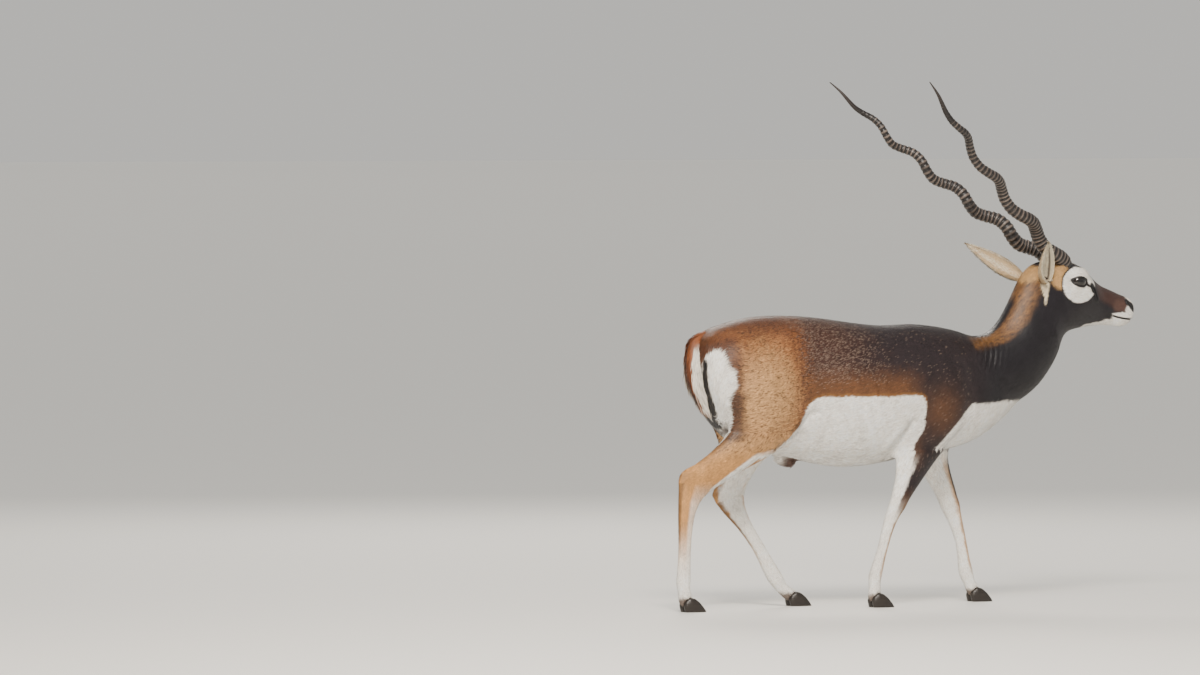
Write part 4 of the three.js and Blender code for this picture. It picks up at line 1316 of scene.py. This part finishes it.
# %%
# Finishes of the eye
eye_finish, tree, shader = new_finish("wet_eye")
iris = add_node(tree, "ShaderNodeVertexColor", {"layer_name": "iris"})
tree.links.new(iris.outputs["Color"], shader.inputs["Base Color"])
shader.inputs["Roughness"].default_value = 0.12
shader.inputs["IOR"].default_value = 1.38
shader.inputs["Coat Weight"].default_value = 1.0
shader.inputs["Coat Roughness"].default_value = 0.02
IRIS = linear("#180e09")
lid_finish, tree, shader = new_finish("moist_lid")
wrinkles = add_node(tree, "ShaderNodeTexNoise", {"Scale": 900.0, "Detail": 2.0})
add_relief(tree, shader, wrinkles.outputs["Fac"], 0.3, 0.0003)
shader.inputs["Base Color"].default_value = rgba("#0c090a")
shader.inputs["Roughness"].default_value = 0.3
print("eye finish has", len(eye_finish.node_tree.nodes), "nodes")

# %%
# Set the eyes
EYE_ROWS, EYE_ROUND = 48, 64
EYE_GAP = 0.4  # between the ball and the plain eye's face
CORNEA_BULGE = 0.02
PUPIL = (0.5, 0.28)  # half its length and height, in radii of the ball
LID_STEPS, LID_ROUND = 96, 10
LID_BALL = EYE_RADIUS + 0.6  # the ball that the lids' margins lie on
LID_THIN, LID_UPPER_MORE = 1.5, 0.5


def eye_ball(name, side):
    """The dark ball, a little bulged in front, with its oval pupil and its black edge."""
    tall = np.linspace(0, math.pi, EYE_ROWS + 1)[1:-1]
    turn = np.arange(EYE_ROUND) * 2 * math.pi / EYE_ROUND
    ring = np.stack(
        [
            np.outer(np.sin(tall), np.cos(turn)),
            side * np.outer(np.cos(tall), np.ones(EYE_ROUND)),
            np.outer(np.sin(tall), np.sin(turn)),
        ],
        -1,
    )
    points, triangles = tube(ring)
    if side > 0:
        triangles = triangles[:, ::-1]
    points[-2] = (0, side, 0)
    points[-1] = (0, -side, 0)
    bulge = 1 + CORNEA_BULGE * np.clip(points[:, 1] * side, 0, 1) ** 6
    ball = both(EYE, side) + points * bulge[:, None] * (EYE_RADIUS - EYE_GAP)
    piece = build_mesh("eye_ball_" + name, head_placed(ball), triangles)
    pupil = ease(1.15, 0.85, oval(points[:, 0], points[:, 2], (0, 0), PUPIL))
    tone = painted(np.repeat(IRIS[None], len(points), 0), BLACK * 0.3, pupil)
    rim = ease(0.75, 0.95, np.hypot(points[:, 0], points[:, 2]))
    set_colours(piece.data, "iris", painted(tone, BLACK * 0.5, rim))
    piece.data.materials.append(eye_finish)
    return piece


def lid_margin(name, side):
    """The moist edge of the lids, a thin roll along the almond."""
    t = np.linspace(0, 2 * math.pi, LID_STEPS + 1)[:-1]
    along = LID_LONG * np.cos(t)
    up = lid_height(along) * np.sign(np.sin(t))
    edge_x = along * math.cos(LID_TILT) - up * math.sin(LID_TILT)
    edge_z = up * math.cos(LID_TILT) + along * math.sin(LID_TILT)
    reach = np.minimum(np.hypot(edge_x, edge_z), LID_BALL * 0.995)
    out = np.sqrt(LID_BALL**2 - reach**2)
    path = both(EYE, side) + np.stack([edge_x, side * out, edge_z], 1)
    ahead = np.roll(path, -1, 0) - np.roll(path, 1, 0)
    ahead /= np.linalg.norm(ahead, axis=1)[:, None]
    outward = path - both(EYE, side)
    outward /= np.linalg.norm(outward, axis=1)[:, None]
    beside = np.cross(ahead, outward)
    roll = (np.arange(LID_ROUND) * 2 * math.pi / LID_ROUND)[None, :, None]
    thick = (LID_THIN + LID_UPPER_MORE * (np.sin(t) > 0))[:, None, None]
    section = outward[:, None, :] * np.cos(roll) * 0.9 + beside[:, None, :] * np.sin(roll)
    ring = path[:, None, :] + thick * section
    ring = np.concatenate([ring, ring[:1]])
    points, triangles = tube(ring, closed_ends=False)
    lid = build_mesh("lid_margin_" + name, head_placed(points), triangles)
    lid.data.materials.append(lid_finish)
    return lid


eye_pieces = {name: [eye_ball(name, side), lid_margin(name, side)] for name, side in SIDES}
print("eye balls", 2 * EYE_RADIUS, "mm across")

# %% [markdown]
# ## The horns
# Each horn sweeps back in a V and turns in an open spiral. Over fifty raised rings circle it, close at the
# base and gone near the smooth tip. Painted highlights, in patches, make the crests paler than the dark
# grooves, and fine fibres run along it. A relief in the finish wouldn't show the rings in the outline,
# so the tube itself swells at each.

# %%
# Sizes and finish of the horns
HORN_BASE = np.array([568.0, 31.0, 906.0])
HORN_REACH = np.array([-562.0, 218.0, 482.0])
HORN_BOW = (13.0, 4.5)  # bend of the middle line, backward and inward
HORN_WAVE = 10.0  # radius of the spiral
HORN_TURNS = {1: (5.3, math.radians(178)), -1: (4.1, math.radians(50))}  # turns, and where they start
HORN_RINGS = 56
HORN_RINGED = 0.88  # share of the horn that has rings
RING_RISE = 0.075
HORN_SUNK = -0.012  # the horn starts a little way inside the skin
HORN_RADII = [20, 17.8, 16.2, 14.6, 12.8, 11, 9.2, 6.6, 1.4]
ROWS_PER_RING, TIP_ROWS = 8, 40
HORN_ROUND = 40

horn_finish, tree, shader = new_finish("ringed_horn")
crest = add_node(tree, "ShaderNodeVertexColor", {"layer_name": "crest"})
place_node = add_node(tree, "ShaderNodeTexCoord")
noise = {"Scale": 420.0, "Detail": 5.0, "Roughness": 0.65}
fibres = add_node(tree, "ShaderNodeTexNoise", noise, {"Vector": place_node.outputs["Object"]})
spread = {"From Min": 0.3, "From Max": 0.75, "To Min": 0.6, "To Max": 1.35}
fibre_tone = add_node(tree, "ShaderNodeMapRange", spread, {"Value": fibres.outputs["Fac"]})
toned = add_tone(tree, crest.outputs["Color"], fibre_tone.outputs[0])
tree.links.new(toned, shader.inputs["Base Color"])
add_relief(tree, shader, fibres.outputs["Fac"], 0.45, 0.0006)
shader.inputs["Roughness"].default_value = 0.42
shader.inputs["IOR"].default_value = 1.54
GROOVE = linear("#16100f")
CREST_HIGHLIGHT = linear("#85766c")
TIP = linear("#2a201d")
print("rings on each horn:", HORN_RINGS)


# %%
# Turn the horns
def smooth_values(values, share):
    """A smooth curve through evenly spaced values."""
    values = np.array(values, float)
    spot = np.clip(share, 0, 1) * (len(values) - 1)
    i = np.minimum(spot.astype(int), len(values) - 2)
    t = spot - i
    padded = np.r_[2 * values[0] - values[1], values, 2 * values[-1] - values[-2]]
    a, b, c, d = padded[i], padded[i + 1], padded[i + 2], padded[i + 3]
    return 0.5 * (2 * b + (c - a) * t + (2 * a - 5 * b + 4 * c - d) * t**2 + (3 * b - a - 3 * c + d) * t**3)


def unit(vector):
    """The same direction with length 1."""
    return vector / np.linalg.norm(vector)


def horn_middle(share, side):
    """The spiral's centre line, from 0 at the base to 1 at the tip."""
    reach = HORN_REACH * np.array([1, side, 1])
    along = unit(reach)
    across = np.array([0.0, side, 0.0])
    across = unit(across - along * (across @ along))
    over = np.cross(along, across)
    turns, first = HORN_TURNS[side]
    angle = first + side * 2 * math.pi * turns * share
    fade = np.clip((1 - share) / 0.3, 0, 1)
    stray = HORN_WAVE * np.minimum(1, share * 8 + 0.15) * fade
    bend = np.array([-HORN_BOW[0], -side * HORN_BOW[1], -HORN_BOW[0]])
    bow = np.sin(math.pi * np.clip(share, 0, 1))[:, None] * bend
    spiral = (stray * np.cos(angle))[:, None] * across + (stray * np.sin(angle))[:, None] * over
    return HORN_BASE * np.array([1, side, 1]) + share[:, None] * reach + bow + spiral, across


horn_pieces = {}
for name, side in SIDES:
    ringed = np.linspace(HORN_SUNK, HORN_RINGED, HORN_RINGS * ROWS_PER_RING)
    share = np.r_[ringed, np.linspace(HORN_RINGED, 1, TIP_ROWS)[1:]]
    centre, across = horn_middle(share, side)
    ahead = np.gradient(centre, axis=0)
    ahead /= np.linalg.norm(ahead, axis=1)[:, None]
    flat = across - ahead * (ahead @ across)[:, None]
    flat /= np.linalg.norm(flat, axis=1)[:, None]
    steep = np.cross(ahead, flat)
    ring_place = np.clip(share, 0, None) / HORN_RINGED * HORN_RINGS
    wave = np.abs(np.sin(math.pi * ring_place)) ** 0.75
    wane = 1 - ease(0.78, 0.92, share)
    radius = smooth_values(HORN_RADII, share)
    turn = np.arange(HORN_ROUND) * 2 * math.pi / HORN_ROUND
    uneven = 1 + 0.018 * np.sin(turn * 3 + 1.3)[None, :] * np.sin(ring_place * 2.1)[:, None]
    ring_swell = 1 - RING_RISE + 2 * RING_RISE * wave * wane * (share < HORN_RINGED)
    sizes = (radius * ring_swell)[:, None] * uneven * (1 - 0.006 * np.sin(turn * 13)[None, :])
    ring = (
        centre[:, None, :]
        + sizes[:, :, None] * np.cos(turn)[None, :, None] * flat[:, None, :]
        + sizes[:, :, None] * np.sin(turn)[None, :, None] * steep[:, None, :]
    )
    points, triangles = tube(ring)
    piece = build_mesh("ringed_horn_" + name, head_placed(points), triangles)
    crest_share = np.r_[np.repeat(wave * wane, HORN_ROUND), wave[0], 0]
    share_all = np.r_[np.repeat(share, HORN_ROUND), 0, 1]
    highlight_patches = 0.6 + 0.4 * mottle(points, 22, 31)
    tone = np.repeat(GROOVE[None], len(points), 0)
    # The pale crests are painted highlights, laid in patches; the grooves stay dark.
    tone = painted(tone, CREST_HIGHLIGHT, ease(0.8, 1.02, crest_share) * np.clip(highlight_patches, 0.1, 1))
    tone = painted(tone, TIP, ease(0.84, 0.93, share_all))
    set_colours(piece.data, "crest", tone)
    piece.data.materials.append(horn_finish)
    horn_pieces[name] = piece
    print(piece.name, len(triangles), "triangles")

# %% [markdown]
# ## The ears
# An ear is a leaf-shaped cup of thin gristle. Its back is pale tan, its rim is edged with fine hair, and
# inside, rows of long pale hairs leave dark lines of bare skin between them. A single sheet would be simpler,
# but its rim would have no thickness, so the wall is a thin closed form.

# %%
# Form the ears
EARS = {
    "right": ((500, -46, 858), (461, -122, 962), (0.3, -0.95, 0)),
    "left": ((484, 44, 864), (370, 148, 957), (0.1, 0.75, -0.6)),
}
EAR_HALF = [14, 24, 29, 28, 22, 13, 1.5]
EAR_DEPTH = [13, 17, 17, 15, 12, 7, 1.5]
EAR_CURL = [150, 125, 108, 98, 92, 88, 80]
EAR_ROWS, EAR_ARC = 56, 41
EAR_INSET = 0.8
EAR_WALL, EAR_THINNEST = 1.6, 0.3
EAR_RIDGE, EAR_FOLDS = 1.3, 9  # height of the ridges in the hollow, and how close they stand
EAR_BACK = linear("#c4a983")
EAR_PALE = linear("#e4dac3")
EAR_DARK = linear("#3a2a26")

ear_up = np.linspace(0.0, 0.995, EAR_ROWS)
sweep = np.linspace(-1, 1, EAR_ARC)
hollow_side = np.r_[np.tile(np.r_[np.zeros(EAR_ARC), np.ones(EAR_ARC)], EAR_ROWS), 0, 0]
rim_to_rim = np.r_[np.tile(np.r_[sweep, sweep[::-1]], EAR_ROWS), 0, 0]
root_to_tip = np.r_[np.repeat(ear_up, 2 * EAR_ARC), 0, 1]
map_across = (rim_to_rim + 2 * hollow_side) / 4 + 0.25
ear_map = np.stack([0.02 + 0.46 * root_to_tip, 0.1 + 0.8 * map_across], 1)


def ear_axes(name):
    """The ear's root and tip, and the directions along it, across it and out of its mouth."""
    start, end, opening = [np.array(v, float) for v in EARS[name]]
    along = unit(end - start)
    mouth = unit(opening - along * (opening @ along))
    return start, end, along, np.cross(along, mouth), mouth


def ear_wall(name, inner):
    """Points of one side of the thin wall: 0 is its back, 1 its hollow side with low ridges."""
    start, end, along, across, mouth = ear_axes(name)
    ridge = EAR_RIDGE * inner * np.outer(np.sin(math.pi * ear_up), np.cos(sweep * EAR_FOLDS))
    inset = EAR_INSET + EAR_WALL * inner + ridge
    half = np.maximum(smooth_values(EAR_HALF, ear_up)[:, None] - inset, EAR_THINNEST)
    depth = np.maximum(smooth_values(EAR_DEPTH, ear_up)[:, None] - inset, EAR_THINNEST)
    angle = np.outer(np.radians(smooth_values(EAR_CURL, ear_up)), sweep)
    middle = start + along * (np.linalg.norm(end - start) * ear_up)[:, None]
    sideways = (half * np.sin(angle))[:, :, None] * across
    return middle[:, None, :] + sideways - (depth * np.cos(angle))[:, :, None] * mouth


def ear_colours(name, side):
    """Tan back, pale hollow and rims, dark bare lines between the ridges, and painted shade of the hollow
    along the left ear's lower rim.
    """
    rim = np.abs(rim_to_rim)
    tone = painted(np.repeat(EAR_BACK[None], len(rim), 0), EAR_PALE, hollow_side)
    bands = ease(0.25, 0.7, np.cos(rim_to_rim * EAR_FOLDS + 0.6)) * hollow_side
    bands = bands * ease(0.95, 0.75, root_to_tip)
    tone = painted(tone, EAR_DARK, 0.85 * bands * ease(0.85, 0.6, rim))
    tone = painted(tone, EAR_PALE, ease(0.86, 0.97, rim))
    tone = painted(tone, EAR_DARK, 0.5 * ease(0.86, 0.98, root_to_tip))
    across = ear_axes(name)[3]
    # Painted shade of the hollow, seen along the left ear's lower rim.
    lower_rim_shade = ease(0.8, 0.95, -rim_to_rim * np.sign(across[2])) * (side > 0)
    return painted(tone, EAR_DARK, 0.8 * lower_rim_shade)


def ear_cup(name, tone):
    """The closed cup of an ear."""
    points, triangles = tube(np.concatenate([ear_wall(name, 0), ear_wall(name, 1)[:, ::-1]], 1))
    piece = build_mesh("ear_cup_" + name, head_placed(points), triangles)
    set_colours(piece.data, "hide", tone * (1 + 0.12 * mottle(points, 3, 41))[:, None])
    set_map(piece.data, ear_map[triangles.ravel()])
    piece.data.materials.append(coat_finish)
    return piece


# %%
# Grow the ears' hair
EAR_HAIRS, RIM_HAIRS = 5200, 1800
EAR_ROOT_SUNK = 0.3
INNER_HAIR, OUTER_HAIR = (10, 0.45, 0.22), (6, 0.6, 0.12)  # length, half width, rise per length


def ear_hair(name, cup, tone):
    """Fine hairs that lie from root to tip over a cup, and more of them along its rim."""
    start, end = ear_axes(name)[:2]
    direction = unit(head_placed(end) - head_placed(start))
    pick = draw.integers(0, EAR_ROWS * 2 * EAR_ARC, EAR_HAIRS)
    on_rim = np.flatnonzero((np.abs(rim_to_rim) > 0.9) & (root_to_tip < 0.97))
    pick = np.r_[pick, draw.choice(on_rim, RIM_HAIRS)]
    count = len(pick)
    at = points_of(cup.data)[pick] + draw.normal(scale=0.5 * MM, size=(count, 3))
    up = normals_of(cup.data)[pick]
    ahead = direction + draw.normal(scale=0.16, size=(count, 3))
    ahead -= up * (ahead * up).sum(1)[:, None]
    ahead /= np.linalg.norm(ahead, axis=1)[:, None]
    inside = hollow_side[pick, None] > 0.5
    length, width, slope = np.where(inside, INNER_HAIR, OUTER_HAIR).T[:, :, None]
    length = length * MM * draw.uniform(0.7, 1.3, count)[:, None]
    length = length * (1 - 0.5 * ease(0.8, 1, root_to_tip[pick]))[:, None]
    half_width = np.cross(up, ahead) * width * MM
    rise = up * length * slope
    base = at - up * EAR_ROOT_SUNK * MM
    half = at + ahead * length * 0.5 + rise * 0.6
    tip = at + ahead * length + rise
    shape = np.stack([base - half_width, base + half_width, half - half_width, half + half_width, tip], 1)
    triangles = faces_of(count, BLADE)
    fringe = build_mesh("ear_hair_" + name, shape.reshape(-1, 3), triangles)
    shade = tone[pick][:, None, :] * (draw.uniform(0.85, 1.15, count)[:, None] * TIP_LIGHT)[:, :, None]
    set_tufts(fringe, triangles, np.clip(shade, 0, PALEST), ear_map[pick], PATCH_SHAPE)
    return fringe


ear_pieces = {}
for name, side in SIDES:
    tone = ear_colours(name, side)
    cup = ear_cup(name, tone)
    ear_pieces[name] = [cup, ear_hair(name, cup, tone)]
print("ears formed, hairs on each:", EAR_HAIRS + RIM_HAIRS)

# %% [markdown]
# ## The hooves
# Each foot stands on two narrow pointed claws of dark horn with fine growth lines round them.
# The plain claws have the right shape, so they are refined into small squares and their edges softened,
# which is simpler than drawing them again. Their soles are kept flat.

# %%
# Finish the hooves
hoof_finish, tree, shader = new_finish("hoof_horn")
place_node = add_node(tree, "ShaderNodeTexCoord")
bands = {"wave_type": "BANDS", "bands_direction": "Z", "Scale": 90.0, "Distortion": 2.5, "Detail": 2.0}
lines = add_node(tree, "ShaderNodeTexWave", bands, {"Vector": place_node.outputs["Object"]})
tint = add_blend(tree, "#17120f", "#2e2620", lines.outputs["Fac"])
tree.links.new(tint, shader.inputs["Base Color"])
add_relief(tree, shader, lines.outputs["Fac"], 0.35, 0.0005)
shader.inputs["Roughness"].default_value = 0.38
shader.inputs["IOR"].default_value = 1.54

print("hoof finish has", len(tree.nodes), "nodes")

# %%
# Refine the claws
CLAW_SQUARE = 1.5 * MM
SOLE_DEPTH = 1.6 * MM
claw_pieces = []
for name in [n for n in sorted(nodes) if n.startswith("hoof_")]:
    claw = bpy.data.objects.new(name.replace("hoof_", "claw_"), nodes[name].data.copy())
    bpy.context.scene.collection.objects.link(claw)
    refine = claw.modifiers.new("squares", "REMESH")
    refine.mode = "VOXEL"
    refine.voxel_size = CLAW_SQUARE
    claw_mesh = bpy.data.meshes.new_from_object(claw.evaluated_get(bpy.context.evaluated_depsgraph_get()))
    claw.modifiers.clear()
    claw.data = claw_mesh
    where = points_of(claw_mesh)
    eased = ironed(where, edges_of(claw_mesh), np.full(len(where), 0.5), 10)
    on_sole = where[:, 2] < SOLE_DEPTH
    eased[on_sole, 2] = np.clip(where[on_sole, 2], 0, None)
    eased[:, 2] = np.maximum(eased[:, 2], 0)
    move_points(claw_mesh, eased)
    claw_mesh.polygons.foreach_set("use_smooth", np.full(len(claw_mesh.polygons), True))
    claw_mesh.materials.clear()
    claw_mesh.materials.append(hoof_finish)
    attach(claw, "root")
    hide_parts(name)
    claw_pieces.append(claw)
print("claws:", len(claw_pieces))

# %% [markdown]
# ## The tail
# The short tail hangs close against the rump: orange-brown on its back, fringed with white at both sides
# and ending in a soft pointed tuft. Its core is a slim tapered form, and long locks cover it and hang
# past it. Locks alone would leave gaps.

# %%
# Hang the tail
TAIL = [  # rear x and z, front x and z, half width
    (-494, 738, -480, 700, 18),
    (-526, 714, -500, 690, 27),
    (-539, 680, -508, 668, 31),
    (-542, 645, -508, 638, 29),
    (-535, 604, -503, 600, 23),
    (-519, 566, -488, 564, 14),
    (-504, 548, -486, 548, 6),
]
TAIL_INSET = 3.0
TAIL_THINNEST = 1.5
TAIL_ROWS, TAIL_ROUND = 60, 32

tail_share = np.linspace(0, 1, TAIL_ROWS)
curves = [smooth_values([row[i] for row in TAIL], tail_share) for i in range(5)]
rear_x, rear_z, front_x, front_z, side_half = curves
middle = np.stack([(rear_x + front_x) / 2, np.zeros(TAIL_ROWS), (rear_z + front_z) / 2], 1)
back = np.stack([(rear_x - front_x) / 2, np.zeros(TAIL_ROWS), (rear_z - front_z) / 2], 1)
thickness = np.linalg.norm(back, axis=1)
back = back / thickness[:, None] * np.maximum(thickness - TAIL_INSET, TAIL_THINNEST)[:, None]
beside = np.outer(np.maximum(side_half - TAIL_INSET, TAIL_THINNEST), [0.0, 1.0, 0.0])
turn = np.arange(TAIL_ROUND) * 2 * math.pi / TAIL_ROUND
across_row = back[:, None, :] * np.cos(turn)[None, :, None] + beside[:, None, :] * np.sin(turn)[None, :, None]
core_points, triangles = tube(middle[:, None, :] + across_row)
tail_core = build_mesh("tail_core", placed(core_points), triangles)
print("tail core has", len(triangles), "triangles")

# %%
# Colour the tail
TAIL_BACK = linear("#8f4e22")
TAIL_WHITE = linear("#e9e2d6")
BACK_HALF = ([520, 560, 600, 650, 700], [2.0, 6.0, 11.0, 17.0, 20.0])  # heights and half widths of the brown
TAIL_ENDS = [[0.03, 0.25], [0.47, 0.25]]  # where the ends of the core lie on the flat hide


def tail_colours(p):
    """Orange-brown along the back of the tail, white at its sides and towards its tip."""
    a = np.abs(p[:, 1]) + 1.6 * mottle(p, 6, 51)
    z = p[:, 2]
    back_half = np.interp(z, *BACK_HALF)
    white = ease(-1.5, 1.5, a - back_half) * ease(715, 690, z)
    tone = painted(np.repeat(TAIL_BACK[None], len(p), 0), TAIL_WHITE, white)
    inside = ease(back_half, back_half - 8, a)
    tone = painted(tone, LOIN, inside * (0.3 + 0.6 * ease(690, 630, z)))
    tone = painted(tone, BLACK, 0.8 * inside * ease(640, 580, z))
    return painted(tone, BLACK, 0.85 * ease(560, 525, z))


def tail_place(share, angle):
    """Places on the tail's own part of the flat hide."""
    return np.stack([share * 0.4 + 0.05, angle / (2 * math.pi) * 0.4 + 0.05], 1)


set_colours(tail_core.data, "hide", tail_colours(core_points))
core_map = tail_place(np.repeat(tail_share, TAIL_ROUND), np.tile(turn, TAIL_ROWS))
core_map = np.concatenate([core_map, TAIL_ENDS])
set_map(tail_core.data, core_map[triangles.ravel()])
tail_core.data.materials.append(coat_finish)
print("tail colours set on", len(core_points), "points")

# %%
# Add the tail's locks
LOCKS = 2600
LOCK_FACES = np.array([[0, 1, 3], [0, 3, 2], [2, 3, 5], [2, 5, 4], [4, 5, 6]])
LOCK_WIDE = [(-0.5, 0.3), (-0.2, 0.5), (0.2, 0.3)]  # place along a lock's patch and half its width there
LOCK_SHAPE = [(along, side * half) for along, half in LOCK_WIDE for side in (-1, 1)]
LOCK_SHAPE = np.array(LOCK_SHAPE + [(0.5, 0)]) * PATCH
LOCK_LIGHT = np.array([0.85, 0.85, 1, 1, 1.05, 1.05, 1.1])  # how light a lock's points are, the tip last
DROOP = np.array([0.16, 0, -0.5])

row = draw.uniform(0.02, 0.97, LOCKS)
spin = draw.uniform(0, 2 * math.pi, LOCKS)
i = np.minimum((row * (TAIL_ROWS - 1)).astype(int), TAIL_ROWS - 2)
tail_down = middle[i + 1] - middle[i]
tail_down /= np.linalg.norm(tail_down, axis=1)[:, None]
radial = back[i] * np.cos(spin)[:, None] + beside[i] * np.sin(spin)[:, None]
at = middle[i] + radial
up = radial / np.linalg.norm(radial, axis=1)[:, None]
ahead = tail_down + up * (0.10 + 0.10 * draw.random(LOCKS))[:, None]
ahead += draw.normal(scale=0.05, size=(LOCKS, 3))
ahead += DROOP * ease(0.55, 1.0, row)[:, None]
ahead /= np.linalg.norm(ahead, axis=1)[:, None]
across = np.cross(up, ahead)
across /= np.linalg.norm(across, axis=1)[:, None]
length = 22 + 24 * ease(0.2, 0.7, row) * draw.uniform(0.8, 1.0, LOCKS)
length = (length * (1 + 0.25 * np.abs(np.sin(spin))))[:, None]
half_width = across * draw.uniform(0.9, 1.5, LOCKS)[:, None]
curve = up * length * 0.05
shape = np.stack(
    [
        at - half_width * 0.6 - up,
        at + half_width * 0.6 - up,
        at + ahead * length * 0.35 - half_width + curve,
        at + ahead * length * 0.35 + half_width + curve,
        at + ahead * length * 0.7 - half_width * 0.7 + curve,
        at + ahead * length * 0.7 + half_width * 0.7 + curve,
        at + ahead * length,
    ],
    1,
)
triangles = faces_of(LOCKS, LOCK_FACES)
tail_hair = build_mesh("tail_hair", placed(shape.reshape(-1, 3)), triangles)
shade = tail_colours(at)[:, None, :] * draw.uniform(0.8, 1.15, LOCKS)[:, None, None] * LOCK_LIGHT[:, None]
set_tufts(tail_hair, triangles, np.clip(shade, 0, PALEST), tail_place(row, spin), LOCK_SHAPE)
print("tail locks:", LOCKS)

# %% [markdown]
# ## Everything on one rigid body
# The figure doesn't move, so each piece rides on the one body. Each new piece stands for the plain
# pieces that it covers, which are then hidden.

# %%
# Fix the pieces to the figure
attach(skin, "root")
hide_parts(*FLESH)
for piece in coat_pieces:
    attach(piece, "root")
for name, _ in SIDES:
    for piece in eye_pieces[name]:
        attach(piece, "root")
    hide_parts("eye_" + name)
    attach(horn_pieces[name], "root")
    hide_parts("horn_" + name)
    for piece in ear_pieces[name]:
        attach(piece, "root")
    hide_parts("ear_" + name)
for piece in (tail_core, tail_hair):
    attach(piece, "root")
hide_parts("tail")

total = 0
for piece in bpy.context.scene.objects:
    if piece.type == "MESH" and not piece.hide_render:
        piece.data.calc_loop_triangles()
        total += len(piece.data.loop_triangles)
print("triangles in all:", total)
